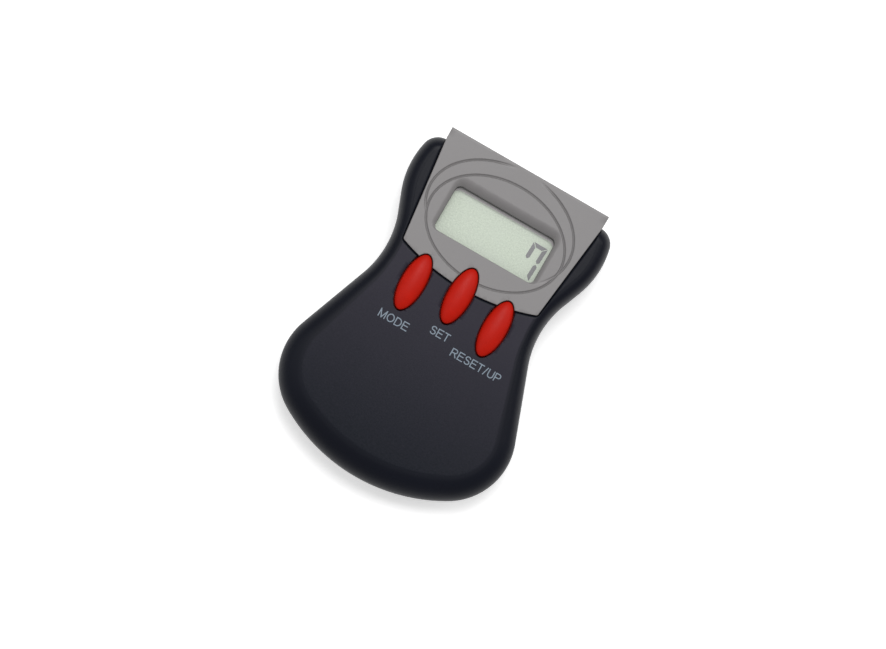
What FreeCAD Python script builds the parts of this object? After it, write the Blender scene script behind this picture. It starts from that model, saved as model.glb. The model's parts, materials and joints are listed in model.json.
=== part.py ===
"""Clip-on step counter: two-shell case, grey display bezel, three push buttons, pendulum, belt clip.

Millimetres. +X to the right of the display, +Y to the top of the display, +Z out of it.
The origin is under the middle of the case, on the plane that the back of the case rests on.
"""
import FreeCAD, Part
import math
import os
import re
import Sketcher

V = FreeCAD.Vector
NEAR = 0.01
LEAST_CUT = 0.01
doc = FreeCAD.newDocument("step_counter")

# ---------------------------------------------------------------- driving sizes
SIZES = {
    # outline of the case, right half: bottom arc, lobe corner, waist, ear, ear tip
    "half_length": 37.5,
    "bottom_radius": 39.5,
    "lobe_radius": 14.55,
    "lobe_x": 12.594,
    "waist_radius": 21.08,
    "waist_x": 40.10,
    "waist_y": 8.64,
    "ear_radius": 19.53,
    "ear_x": 3.858,
    "ear_y": 27.474,
    "tip_radius": 3.90,
    "tip_top": 34.84,
    # heights of the two shells
    "split": 7.0,
    "face": 15.0,
    "wall": 1.6,
    "shadow_gap": 0.25,
    "slope_start": 6.0,
    "slope_radius": 300.0,
    "face_rounding": 2.4,
    "back_rounding": 2.5,
    "roof": 10.0,
    "back_floor": 1.8,
    "bay_floor": 4.3,
    "bay_inside": 5.9,
    "bay_start": -4.0,
    "lobe_cavity_end": -5.6,
    # how far a cut runs past a face, and how far added material sinks into its neighbour
    "past": 1.0,
    "bite": 0.2,
    # grey bezel over the display end
    "bezel_arc": 47.6,
    "bezel_low": 8.6,
    "bezel_low_width": 16.5,
    "bezel_knee_width": 19.25,
    "bezel_knee": 34.9,
    "bezel_top_width": 19.31,
    "bezel_thick": 1.8,
    "bezel_gap": 0.15,
    "bezel_wall": 2.3,
    "bezel_corner": 0.64,
    "groove_depth": 0.35,
    "groove_width": 0.5,
    "oval_y": 22.56,
    "oval_x_radius": 15.70,
    "oval_y_radius": 11.46,
    # display window, lens and liquid crystal panel
    "window_width": 24.38,
    "window_low": 16.69,
    "window_high": 27.56,
    "window_corner": 1.3,
    "lens_width": 28.6,
    "lens_low": 14.8,
    "lens_high": 29.4,
    "lens_thick": 0.7,
    "gasket_thick": 0.3,
    "gasket_rim": 1.3,
    "ledge": 11.8,
    "lens_clearance": 0.1,
    "view_rim": 1.2,
    "display_bay_width": 30.4,
    "display_bay_low": -4.0,
    "display_bay_high": 31.5,
    "glass_width": 28.5,
    "glass_low": 14.4,
    "glass_high": 29.4,
    "glass_back": 9.7,
    "glass_face": 11.7,
    "reflector_thick": 0.2,
    "reflector_low": 2.6,
    "reflector_high": 0.6,
    "stack_margin": 1.0,
    "zebra_start": 0.2,
    "zebra_depth": 2.2,
    # push buttons: two outer ones and the middle one
    "button_x_radius": 2.70,
    "button_y_radius": 6.78,
    "outer_button_x": 10.02,
    "outer_button_y": 4.66,
    "middle_button_y": 6.96,
    "button_gap": 0.25,
    "button_shoulder": 14.7,
    "button_dome": 1.5,
    "flange_width": 7.4,
    "flange_length": 14.1,
    "flange_low": 10.6,
    "flange_high": 11.7,
    "keypad_thick": 0.8,
    "keypad_low": -3.5,
    "keypad_high": 13.9,
    "keypad_width": 29.2,
    "bump_margin": 0.5,
    # circuit board
    "board_low": 7.2,
    "board_high": 8.2,
    "board_width": 30.0,
    "board_bottom": -10.0,
    "board_top": 32.0,
    "shoulder_width": 39.0,
    "shoulder_low": 24.5,
    "shoulder_high": 31.0,
    "tail_left": -2.0,
    "tail_right": 20.0,
    "tail_bottom": -27.0,
    "tail_step": 1.0,
    # controller under its blob of epoxy, surface-mount parts, timing crystal
    "chip_y": 20.0,
    "chip_radius": 3.4,
    "chip_edge": 0.5,
    "chip_cap_radius": 2.6,
    "chip_thick": 0.9,
    "smd_x": -9.0,
    "smd_y": 6.0,
    "smd_pitch": 6.0,
    "smd_width": 1.2,
    "smd_length": 2.0,
    "smd_thick": 0.6,
    "crystal_x": -8.0,
    "crystal_y": -7.0,
    "crystal_radius": 0.75,
    "crystal_length": 5.0,
    # bosses and screws
    "lobe_screw_x": 22.8,
    "lobe_screw_y": -20.0,
    "ear_screw_x": 17.6,
    "ear_screw_y": 19.0,
    "board_screw_x": 12.0,
    "board_screw_y": -7.5,
    "shoulder_screw_x": 17.4,
    "shoulder_screw_y": 28.0,
    "front_boss": 1.9,
    "rear_boss": 2.4,
    "board_boss": 1.6,
    "pilot": 0.65,
    "shank": 0.60,
    "clearance_hole": 0.8,
    "head_radius": 1.5,
    "head_thick": 1.1,
    "head_bore": 1.6,
    "lobe_seat": 2.8,
    "ear_seat": 5.4,
    "screw_tip": 9.4,
    "pilot_spare": 0.2,
    "recess_reach": 0.9,
    "recess_half_width": 0.16,
    "recess_depth": 0.55,
    # button cell and its door
    "cell_x": -10.5,
    "cell_y": -18.0,
    "cell_radius": 5.8,
    "cell_low": 1.2,
    "cell_high": 6.6,
    "cell_cap_thick": 0.4,
    "cell_cap_inset": 0.8,
    "door_flange": 8.0,
    "door_flange_thick": 0.7,
    "door_neck": 7.0,
    "door_neck_top": 2.5,
    "door_disc": 1.1,
    "door_bore": 6.1,
    "door_clearance": 0.12,
    "counterbore_depth": 1.0,
    "tab_reach": 7.9,
    "tab_half_angle": 13.0,
    "tab_root": 0.4,
    "tab_clearance": 0.08,
    "notch_margin": 2.0,
    "coin_slot_length": 10.0,
    "coin_slot_width": 1.6,
    "coin_slot_depth": 0.6,
    "seal_clearance": 0.1,
    # the cell's two spring contacts
    "strip": 0.3,
    "finger_half_width": 1.5,
    "finger_start": 4.5,
    "finger_end": 8.4,
    "dimple_radius": 0.8,
    "pad_left": 0.4,
    "pad_right": 2.6,
    "pad_overlap": 3.0,
    "blade_gap": 0.05,
    "blade_half_length": 3.0,
    "blade_foot": 1.4,
    "blade_low": 0.4,
    # pendulum
    "pivot_x": 0.8,
    "pivot_y": -18.0,
    "pivot_radius": 0.5,
    "arm_reach": 15.2,
    "arm_width": 1.2,
    "arm_low": 4.0,
    "arm_thick": 0.6,
    "hub_radius": 1.2,
    "weight_radius": 2.8,
    "weight_low": 2.2,
    "base_thick": 0.6,
    "stop_reach": 10.0,
    "contact_radius": 0.3,
    "bumper_radius": 0.8,
    "stop_clearance": 0.05,
    "swing": 6.0,
    "hub_low": 1.0,
    "hub_high": 1.6,
    "hub_clearance": 0.04,
    "pin_end": 1.4,
    "pin_head_thick": 0.4,
    "pin_head_rim": 0.4,
    "eye_radius": 1.7,
    "stud_radius": 1.0,
    "stud_head_radius": 1.5,
    "stud_head_thick": 0.6,
    "stop_low": 0.4,
    "post_x": 5.0,
    "post_y": 5.8,
    "post_radius": 0.35,
    "rivet_head_radius": 1.0,
    "rivet_head_thick": 0.4,
    "rivet_left": 1.0,
    "rivet_right": 16.5,
    "rivet_middle": 8.0,
    "rivet_high": 5.5,
    "rivet_low": -7.0,
    "base_left": 2.3,
    "base_right": 18.6,
    "base_low": 8.2,
    "base_high": 6.8,
    "carrier_gap": 0.2,
    "carrier_lift": 0.3,
    "carrier_radius": 0.7,
    "carrier_wire": 0.12,
    "carrier_pitch": 0.5,
    "carrier_turns": 8.0,
    # belt clip
    "clip_half_width": 11.0,
    "clip_thick": 2.0,
    "clip_low": -2.5,
    "clip_high": 34.0,
    "jaw_high": 4.05,
    "jaw_length": 2.4,
    "jaw_half_width": 7.8,
    "clip_corner": 2.2,
    "hinge_y": 30.0,
    "hinge_z": 2.4,
    "knuckle": 1.6,
    "knuckle_width": 3.0,
    "pin_radius": 0.8,
    "pin_clearance": 0.05,
    "lug_gap": 0.3,
    "lug_width": 2.0,
    "window_half_width": 4.2,
    "window_below_hinge": 2.4,
    "window_above_hinge": 2.2,
    "spring_wire": 0.25,
    "spring_turns": 5.0,
    "spring_slack": 0.15,
    "case_leg_length": 4.2,
    "tab_leg_length": 2.8,
    "tab_leg_lean": 25.0,
    "spring_pitch": 0.9,
}
sheet = doc.addObject("Spreadsheet::Sheet", "Sizes")
for row, (alias, size) in enumerate(SIZES.items(), start=1):
    sheet.set(f"A{row}", alias)
    sheet.set(f"B{row}", str(size))
    sheet.setAlias(f"B{row}", alias)
doc.recompute()


def bound(text):
    """Turn 'wall + 1' into 'Sizes.wall + 1', the form an expression needs."""
    return re.sub(r"\b([a-z]\w+)\b(?!\()", r"Sizes.\1", str(text))


def number(text):
    """The present value of such an expression."""
    return float(sheet.evalExpression(bound(text)))


# ---------------------------------------------------------------- sketch helpers
def plane(body, role):
    return [item for item in body.Origin.OriginFeatures if item.Role == role][0]


def new_sketch(body, name, role="XY_Plane", offset="0"):
    sketch = body.newObject("Sketcher::SketchObject", name)
    sketch.AttachmentSupport = (plane(body, role), [""])
    sketch.MapMode = "FlatFace"
    sketch.setExpression("AttachmentOffset.Base.z", bound(offset))
    return sketch


def dimension(sketch, kind, where, text):
    index = sketch.addConstraint(Sketcher.Constraint(kind, *where, number(text)))
    sketch.setExpression(f"Constraints[{index}]", bound(text))


def at(sketch, geometry, position, x, y):
    dimension(sketch, "DistanceX", (-1, 1, geometry, position), x)
    dimension(sketch, "DistanceY", (-1, 1, geometry, position), y)


def polygon(sketch, points):
    """Closed straight-sided profile; each point is a pair of expressions."""
    first = sketch.GeometryCount
    places = [V(number(x), number(y), 0) for x, y in points]
    count = len(points)
    for i in range(count):
        sketch.addGeometry(Part.LineSegment(places[i], places[(i + 1) % count]), False)
    for i in range(count):
        after = first + (i + 1) % count
        sketch.addConstraint(Sketcher.Constraint("Coincident", first + i, 2, after, 1))
    for i, (x, y) in enumerate(points):
        at(sketch, first + i, 1, x, y)


def rectangle(sketch, x0, y0, x1, y1):
    polygon(sketch, [(x0, y0), (x1, y0), (x1, y1), (x0, y1)])


def circle(sketch, x, y, radius):
    centre = V(number(x), number(y), 0)
    index = sketch.addGeometry(Part.Circle(centre, V(0, 0, 1), number(radius)), False)
    at(sketch, index, 3, x, y)
    dimension(sketch, "Radius", (index,), radius)


def ellipse(sketch, x, y, x_radius, y_radius):
    """Ellipse with its axes along X and Y."""
    centre = V(number(x), number(y), 0)
    wide, high = number(x_radius), number(y_radius)
    tall = high > wide
    major, minor = (V(0, high, 0), V(wide, 0, 0)) if tall else (V(wide, 0, 0), V(0, high, 0))
    index = sketch.addGeometry(Part.Ellipse(centre + major, centre + minor, centre), False)
    sketch.exposeInternalGeometry(index)
    at(sketch, index, 3, x, y)
    sketch.addConstraint(Sketcher.Constraint("Vertical" if tall else "Horizontal", index + 1))
    long_radius, short_radius = (y_radius, x_radius) if tall else (x_radius, y_radius)
    dimension(sketch, "Distance", (index + 1,), f"2 * ({long_radius})")
    dimension(sketch, "Distance", (index + 2,), f"2 * ({short_radius})")


def add(body, name, low, high, draw, role="XY_Plane"):
    """Material between two offsets from an origin plane."""
    sketch = new_sketch(body, name + "_sketch", role, low)
    draw(sketch)
    pad = body.newObject("PartDesign::Pad", name)
    pad.Profile = sketch
    pad.setExpression("Length", bound(f"({high}) - ({low})"))
    return pad


def cut(body, name, low, high, draw, role="XY_Plane"):
    """A cut between two offsets from an origin plane; a pocket runs against the sketch's normal."""
    sketch = new_sketch(body, name + "_sketch", role, high)
    draw(sketch)
    pocket = body.newObject("PartDesign::Pocket", name)
    pocket.Profile = sketch
    pocket.setExpression("Length", bound(f"({high}) - ({low})"))
    return pocket


def mirror(body, name):
    """Reflect everything made so far in the plane X = 0."""
    doc.recompute()
    feature = body.newObject("PartDesign::Mirrored", name)
    feature.TransformMode = "Whole shape"
    feature.MirrorPlane = (plane(body, "YZ_Plane"), [""])
    body.Tip = feature
    return feature


def round_edges(body, name, base, radius, chosen):
    """Fillet the edges of base that the test picks."""
    doc.recompute()
    names = [f"Edge{i}" for i, edge in enumerate(base.Shape.Edges, start=1) if chosen(edge)]
    fillet = body.newObject("PartDesign::Fillet", name)
    fillet.Base = (base, names)
    fillet.setExpression("Radius", bound(radius))
    return fillet


def new_body(name):
    body = doc.addObject("PartDesign::Body", name)
    body.Label = name
    return body


# ---------------------------------------------------------------- primitive helpers
def place(item, x, y, z):
    for axis, text in zip("xyz", (x, y, z)):
        item.setExpression(f"Placement.Base.{axis}", bound(text))


def block(name, x0, y0, z0, x1, y1, z1):
    item = doc.addObject("Part::Box", name)
    item.setExpression("Length", bound(f"({x1}) - ({x0})"))
    item.setExpression("Width", bound(f"({y1}) - ({y0})"))
    item.setExpression("Height", bound(f"({z1}) - ({z0})"))
    place(item, x0, y0, z0)
    return item


def rod(name, x, y, z0, z1, radius):
    item = doc.addObject("Part::Cylinder", name)
    item.setExpression("Radius", bound(radius))
    item.setExpression("Height", bound(f"({z1}) - ({z0})"))
    place(item, x, y, z0)
    return item


def united(name, *pieces):
    item = doc.addObject("Part::MultiFuse", name)
    item.Shapes = list(pieces)
    item.Label = name
    return item


def without(name, base, tool):
    item = doc.addObject("Part::Cut", name)
    item.Base = base
    item.Tool = tool
    item.Label = name
    return item


def grouped(name, pieces):
    """Several like solids in one node."""
    item = doc.addObject("Part::Compound", name)
    item.Links = list(pieces)
    item.Label = name
    return item


# ---------------------------------------------------------------- outline of the case
def direction(degrees):
    return V(math.cos(math.radians(degrees)), math.sin(math.radians(degrees)), 0)


def bridge(inner, inner_radius, outer, outer_radius):
    """Normal angle of the line that touches a convex arc and then a hollow one beside it."""
    span = outer - inner
    across = math.degrees(math.acos((inner_radius + outer_radius) / span.Length))
    return math.degrees(math.atan2(span.y, span.x)), across


def half_outline(sketch, inset="0", lobe_only=False):
    """Right half of the case outline, moved inwards by inset, closed along the line X = 0."""
    gap = number(inset)
    bottom_r = number("bottom_radius") - gap
    lobe_r = number("lobe_radius") - gap
    waist_r = number("waist_radius") + gap
    ear_r = number("ear_radius") - gap
    tip_r = number("tip_radius") - gap
    bottom_y = -number("half_length") + gap
    top_y = number("tip_top") - gap
    bottom_c = V(0, bottom_y + bottom_r, 0)
    drop = math.sqrt((bottom_r - lobe_r) ** 2 - number("lobe_x") ** 2)
    lobe_c = V(number("lobe_x"), bottom_c.y - drop, 0)
    waist_c = V(number("waist_x"), number("waist_y"), 0)
    ear_c = V(number("ear_x"), number("ear_y"), 0)
    rise = top_y - tip_r - ear_c.y
    tip_c = ear_c + V(math.sqrt((ear_r - tip_r) ** 2 - rise ** 2), rise, 0)
    lobe_turn = math.degrees(math.atan2(lobe_c.y - bottom_c.y, lobe_c.x))
    span, across = bridge(lobe_c, lobe_r, waist_c, waist_r)
    flank = span - across
    span, across = bridge(ear_c, ear_r, waist_c, waist_r)
    neck = span + across
    tip_turn = math.degrees(math.atan2(tip_c.y - ear_c.y, tip_c.x - ear_c.x))

    def arc(centre, radius, start, end):
        shape = Part.Circle(centre, V(0, 0, 1), radius)
        return sketch.addGeometry(
            Part.ArcOfCircle(shape, math.radians(start), math.radians(end)), False)

    def line(start, end):
        return sketch.addGeometry(Part.LineSegment(start, end), False)

    def tangent(one, one_end, two, two_end):
        sketch.addConstraint(Sketcher.Constraint("Tangent", one, one_end, two, two_end))

    def joined(one, one_end, two, two_end):
        sketch.addConstraint(Sketcher.Constraint("Coincident", one, one_end, two, two_end))

    def on_axis(geometry, position):
        sketch.addConstraint(Sketcher.Constraint("PointOnObject", geometry, position, -2))

    bottom = arc(bottom_c, bottom_r, -90, lobe_turn)
    lobe = arc(lobe_c, lobe_r, lobe_turn, flank)
    flank_start = lobe_c + direction(flank) * lobe_r
    flank_end = waist_c - direction(flank) * waist_r
    tangent(bottom, 2, lobe, 1)
    on_axis(bottom, 1)
    on_axis(bottom, 3)
    dimension(sketch, "DistanceY", (-1, 1, bottom, 1), f"({inset}) - half_length")
    dimension(sketch, "Radius", (bottom,), f"bottom_radius - ({inset})")
    dimension(sketch, "Radius", (lobe,), f"lobe_radius - ({inset})")
    dimension(sketch, "DistanceX", (-1, 1, lobe, 3), "lobe_x")
    if lobe_only:
        end_y = number("lobe_cavity_end")
        share = (end_y - flank_start.y) / (flank_end.y - flank_start.y)
        flank_end = flank_start + (flank_end - flank_start) * share
        side = line(flank_start, flank_end)
        close = line(flank_end, V(0, end_y, 0))
        axis = line(V(0, end_y, 0), V(0, bottom_y, 0))
        guide = sketch.addGeometry(Part.Circle(waist_c, V(0, 0, 1), waist_r), True)
        tangent(lobe, 2, side, 1)
        sketch.addConstraint(Sketcher.Constraint("Tangent", side, guide))
        at(sketch, guide, 3, "waist_x", "waist_y")
        dimension(sketch, "Radius", (guide,), f"waist_radius + ({inset})")
        joined(side, 2, close, 1)
        joined(close, 2, axis, 1)
        joined(axis, 2, bottom, 1)
        on_axis(close, 2)
        sketch.addConstraint(Sketcher.Constraint("Horizontal", close))
        dimension(sketch, "DistanceY", (-1, 1, close, 2), "lobe_cavity_end")
        return
    side = line(flank_start, flank_end)
    waist = arc(waist_c, waist_r, 180 + neck, 180 + flank)
    neck_line = line(waist_c - direction(neck) * waist_r, ear_c + direction(neck) * ear_r)
    ear = arc(ear_c, ear_r, neck, tip_turn)
    tip = arc(tip_c, tip_r, tip_turn, 90)
    top = line(tip_c + V(0, tip_r, 0), V(0, top_y, 0))
    axis = line(V(0, top_y, 0), V(0, bottom_y, 0))
    tangent(lobe, 2, side, 1)
    tangent(side, 2, waist, 2)
    tangent(waist, 1, neck_line, 1)
    tangent(neck_line, 2, ear, 1)
    tangent(ear, 2, tip, 1)
    tangent(tip, 2, top, 1)
    joined(top, 2, axis, 1)
    joined(axis, 2, bottom, 1)
    on_axis(top, 2)
    sketch.addConstraint(Sketcher.Constraint("Horizontal", top))
    dimension(sketch, "Radius", (waist,), f"waist_radius + ({inset})")
    at(sketch, waist, 3, "waist_x", "waist_y")
    dimension(sketch, "Radius", (ear,), f"ear_radius - ({inset})")
    at(sketch, ear, 3, "ear_x", "ear_y")
    dimension(sketch, "Radius", (tip,), f"tip_radius - ({inset})")
    dimension(sketch, "DistanceY", (-1, 1, top, 2), f"tip_top - ({inset})")


def half_bezel(sketch, gap="0"):
    """Right half of the bezel outline, grown sideways and downwards by gap."""
    low = f"bezel_low - ({gap})"
    radius = f"bezel_arc + ({gap})"
    side = f"bezel_low_width + ({gap})"
    knee = f"bezel_knee_width + ({gap})"
    top = f"bezel_top_width + ({gap})"
    centre = V(0, number(low) + number(radius), 0)
    corner_y = centre.y - math.sqrt(number(radius) ** 2 - number(side) ** 2)
    corner = V(number(side), corner_y, 0)
    shape = Part.Circle(centre, V(0, 0, 1), number(radius))
    end = math.atan2(corner.y - centre.y, corner.x)
    arc = sketch.addGeometry(Part.ArcOfCircle(shape, -math.pi / 2, end), False)
    knee_point = V(number(knee), number("bezel_knee"), 0)
    top_point = V(number(top), number("half_length"), 0)
    middle = V(0, number("half_length"), 0)
    flank = sketch.addGeometry(Part.LineSegment(corner, knee_point), False)
    cheek = sketch.addGeometry(Part.LineSegment(knee_point, top_point), False)
    crest = sketch.addGeometry(Part.LineSegment(top_point, middle), False)
    axis = sketch.addGeometry(Part.LineSegment(middle, V(0, number(low), 0)), False)
    for one, one_end, two in ((arc, 2, flank), (flank, 2, cheek), (cheek, 2, crest), (crest, 2, axis)):
        sketch.addConstraint(Sketcher.Constraint("Coincident", one, one_end, two, 1))
    sketch.addConstraint(Sketcher.Constraint("Coincident", axis, 2, arc, 1))
    for geometry, position in ((arc, 1), (arc, 3), (crest, 2)):
        sketch.addConstraint(Sketcher.Constraint("PointOnObject", geometry, position, -2))
    sketch.addConstraint(Sketcher.Constraint("Horizontal", crest))
    dimension(sketch, "DistanceY", (-1, 1, arc, 1), low)
    dimension(sketch, "Radius", (arc,), radius)
    dimension(sketch, "DistanceX", (-1, 1, arc, 2), side)
    at(sketch, flank, 2, knee, "bezel_knee")
    at(sketch, cheek, 2, top, "half_length")


def button_holes(sketch):
    grown = ("button_x_radius + button_gap", "button_y_radius + button_gap")
    ellipse(sketch, "0", "middle_button_y", *grown)
    ellipse(sketch, "outer_button_x", "outer_button_y", *grown)


# ---------------------------------------------------------------- front cover
def top_edge(edge):
    """Edges of the face's rim: not on the mirror plane, and not across the face."""
    ends = [vertex.Point for vertex in edge.Vertexes]
    high = min(point.z for point in ends) > number("roof + past")
    middle = all(abs(point.x) < NEAR for point in ends)
    across = all(abs(point.y - number("slope_start")) < NEAR for point in ends)
    return high and not middle and not across


def slope_profile(sketch):
    """Region above the face where it falls away towards the bottom of the case."""
    start = V(number("slope_start"), number("face"), 0)
    radius = number("slope_radius")
    centre = start - V(0, radius, 0)
    end_y = -number("half_length + 3 * past")
    end = V(end_y, centre.y + math.sqrt(radius ** 2 - (end_y - centre.x) ** 2), 0)
    angle = math.atan2(end.y - centre.y, end.x - centre.x)
    shape = Part.Circle(centre, V(0, 0, 1), radius)
    arc = sketch.addGeometry(Part.ArcOfCircle(shape, math.pi / 2, angle), False)
    high = V(end_y, number("face + past"), 0)
    above = V(start.x, high.y, 0)
    drop = sketch.addGeometry(Part.LineSegment(end, high), False)
    lid = sketch.addGeometry(Part.LineSegment(high, above), False)
    close = sketch.addGeometry(Part.LineSegment(above, start), False)
    for one, one_end, two, two_end in ((arc, 2, drop, 1), (drop, 2, lid, 1), (lid, 2, close, 1),
                                       (close, 2, arc, 1)):
        sketch.addConstraint(Sketcher.Constraint("Coincident", one, one_end, two, two_end))
    sketch.addConstraint(Sketcher.Constraint("Vertical", drop))
    sketch.addConstraint(Sketcher.Constraint("Horizontal", lid))
    dimension(sketch, "DistanceX", (-1, 1, arc, 3), "slope_start")
    at(sketch, arc, 1, "slope_start", "face")
    dimension(sketch, "Radius", (arc,), "slope_radius")
    dimension(sketch, "DistanceX", (-1, 1, drop, 1), "-half_length - 3 * past")
    at(sketch, lid, 2, "slope_start", "face + past")


def screw_circles(sketch, radius, places):
    for x, y in places:
        circle(sketch, x, y, radius)


LOBE = ("lobe_screw_x", "lobe_screw_y")
EAR = ("ear_screw_x", "ear_screw_y")
BOARD = ("board_screw_x", "board_screw_y")
SHOULDER = ("shoulder_screw_x", "shoulder_screw_y")


def make_front_cover():
    body = new_body("front_cover")
    blank = add(body, "front_blank", "split", "face", half_outline)
    slope = cut(body, "face_slope", "-30", "30", slope_profile, "YZ_Plane")
    round_edges(body, "face_rim", slope, "face_rounding", top_edge)
    cut(body, "front_cavity", "split", "roof", lambda s: half_outline(s, "wall"))
    cut(body, "display_bay", "split", "ledge",
        lambda s: rectangle(s, "-past", "display_bay_low", "display_bay_width / 2", "display_bay_high"))
    cut(body, "bezel_seat", "face - bezel_thick", "face + past", lambda s: half_bezel(s, "bezel_gap"))
    cut(body, "lens_seat", "face - bezel_thick - lens_thick - gasket_thick", "face - bezel_thick",
        lambda s: rectangle(s, "-past", "lens_low - lens_clearance", "lens_width / 2 + lens_clearance",
                            "lens_high + lens_clearance"))
    cut(body, "view_hole", "ledge", "face - bezel_thick",
        lambda s: rectangle(s, "-past", "lens_low + view_rim", "lens_width / 2 - view_rim",
                            "lens_high - view_rim"))
    cut(body, "front_button_holes", "ledge", "face + past", button_holes)
    add(body, "board_bosses", "board_high", "roof + bite",
        lambda s: screw_circles(s, "board_boss", (BOARD, SHOULDER)))
    add(body, "case_bosses", "split", "roof + bite", lambda s: screw_circles(s, "front_boss", (LOBE, EAR)))
    cut(body, "pilot_holes", "split", "screw_tip + pilot_spare",
        lambda s: screw_circles(s, "pilot", (LOBE, EAR, BOARD, SHOULDER)))
    mirror(body, "front_both_halves")
    return body


# ---------------------------------------------------------------- rear cover
def back_edge(edge):
    ends = [vertex.Point for vertex in edge.Vertexes]
    low = max(point.z for point in ends) < NEAR
    middle = all(abs(point.x) < NEAR for point in ends)
    return low and not middle


def hinge_circle(sketch, radius):
    circle(sketch, "hinge_y", "hinge_z", radius)


def tab_sector(sketch, turn, reach, half_angle):
    """Slice of a ring about the cell's axis, from inside the neck out to reach."""
    x, y, inner = number("cell_x"), number("cell_y"), number("door_bore + tab_root")
    centre = V(x, y, 0)
    low, high = turn - half_angle, turn + half_angle
    outer = Part.ArcOfCircle(Part.Circle(centre, V(0, 0, 1), reach), math.radians(low), math.radians(high))
    arc = sketch.addGeometry(outer, False)
    start = centre + direction(high) * reach
    inner_high = centre + direction(high) * inner
    inner_low = centre + direction(low) * inner
    end = centre + direction(low) * reach
    sketch.addGeometry(Part.LineSegment(start, inner_high), False)
    sketch.addGeometry(Part.LineSegment(inner_high, inner_low), False)
    sketch.addGeometry(Part.LineSegment(inner_low, end), False)
    for i in range(3):
        sketch.addConstraint(Sketcher.Constraint("Coincident", arc + i, 2, arc + i + 1, 1))
    sketch.addConstraint(Sketcher.Constraint("Coincident", arc + 3, 2, arc, 1))
    for i in range(4):
        sketch.addConstraint(Sketcher.Constraint("Block", arc + i))


def make_rear_cover():
    body = new_body("rear_cover")
    add(body, "rear_blank", "0", "split", lambda s: half_outline(s, "shadow_gap"))
    bay = cut(body, "clip_bay", "-past", "bay_floor",
              lambda s: rectangle(s, "-past", "bay_start", "half_length", "half_length + past"))
    round_edges(body, "back_rim", bay, "back_rounding", back_edge)
    cut(body, "rear_cavity", "bay_inside", "split", lambda s: half_outline(s, "wall + shadow_gap"))
    cut(body, "lobe_cavity", "back_floor", "split", lambda s: half_outline(s, "wall + shadow_gap", True))
    add(body, "lobe_boss", "back_floor - bite", "split", lambda s: screw_circles(s, "rear_boss", (LOBE,)))
    add(body, "ear_boss", "bay_inside - bite", "split", lambda s: screw_circles(s, "rear_boss", (EAR,)))
    cut(body, "screw_holes", "-past", "split + past",
        lambda s: screw_circles(s, "clearance_hole", (LOBE, EAR)))
    cut(body, "lobe_head_bore", "-past", "lobe_seat", lambda s: screw_circles(s, "head_bore", (LOBE,)))
    cut(body, "ear_head_bore", "-past", "ear_seat", lambda s: screw_circles(s, "head_bore", (EAR,)))
    lug_start, lug_end = "clip_half_width + lug_gap", "clip_half_width + lug_gap + lug_width"
    add(body, "lug_web", lug_start, lug_end,
        lambda s: rectangle(s, "hinge_y - knuckle", "hinge_z", "hinge_y + knuckle", "bay_floor + bite"),
        "YZ_Plane")
    add(body, "lug_round", lug_start, lug_end, lambda s: hinge_circle(s, "knuckle"), "YZ_Plane")
    cut(body, "lug_bore", "clip_half_width", "clip_half_width + lug_gap + lug_width + past",
        lambda s: hinge_circle(s, "pin_radius"), "YZ_Plane")
    mirror(body, "rear_both_halves")
    cut(body, "door_counterbore", "-past", "counterbore_depth",
        lambda s: circle(s, "cell_x", "cell_y", "door_flange + door_clearance"))
    cut(body, "door_hole", "-past", "back_floor + past",
        lambda s: circle(s, "cell_x", "cell_y", "door_neck + door_clearance"))
    for turn in (45, 225):
        cut(body, f"door_notch_{turn}", "-past", "back_floor + past",
            lambda s, turn=turn: tab_sector(s, turn, number("tab_reach + door_clearance"),
                                            number("tab_half_angle + notch_margin")))
    return body


# ---------------------------------------------------------------- display end
def make_bezel():
    body = new_body("display_bezel")
    add(body, "bezel_plate", "face - bezel_thick", "face", half_bezel)
    add(body, "bezel_end_wall", "split", "face - bezel_thick",
        lambda s: rectangle(s, "-past", "half_length - bezel_wall", "bezel_top_width", "half_length"))
    mirrored = mirror(body, "bezel_both_halves")
    corners = round_edges(body, "bezel_corners", mirrored, "bezel_corner", low_corner)
    body.Tip = corners
    opened = cut(body, "display_window", "face - bezel_thick - past", "face + past",
                 lambda s: rectangle(s, "-window_width / 2", "window_low",
                                     "window_width / 2", "window_high"))
    rounded = round_edges(body, "window_corners", opened, "window_corner", window_corner)
    body.Tip = rounded
    cut(body, "bezel_button_holes", "face - bezel_thick - past", "face + past", all_button_holes)
    cut(body, "oval_groove", "face - groove_depth", "face + past", oval_ring)
    return body


def all_button_holes(sketch):
    button_holes(sketch)
    ellipse(sketch, "-outer_button_x", "outer_button_y",
            "button_x_radius + button_gap", "button_y_radius + button_gap")


def oval_ring(sketch):
    for side in ("+", "-"):
        ellipse(sketch, "0", "oval_y", f"oval_x_radius {side} groove_width / 2",
                f"oval_y_radius {side} groove_width / 2")


def vertical(edge):
    ends = [vertex.Point for vertex in edge.Vertexes]
    if len(ends) < 2:
        return False
    return abs(ends[0].x - ends[1].x) < NEAR and abs(ends[0].y - ends[1].y) < NEAR


def low_corner(edge):
    point = edge.Vertexes[0].Point
    return vertical(edge) and point.y < number("oval_y") and abs(point.x) > number("outer_button_x")


def window_corner(edge):
    point = edge.Vertexes[0].Point
    beside = abs(abs(point.x) - number("window_width / 2")) < NEAR
    level = min(abs(point.y - number("window_low")), abs(point.y - number("window_high"))) < NEAR
    return vertical(edge) and beside and level


def make_lens():
    body = new_body("display_lens")
    add(body, "lens_plate", "face - bezel_thick - lens_thick", "face - bezel_thick",
        lambda s: rectangle(s, "-lens_width / 2", "lens_low", "lens_width / 2", "lens_high"))
    return body


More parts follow.
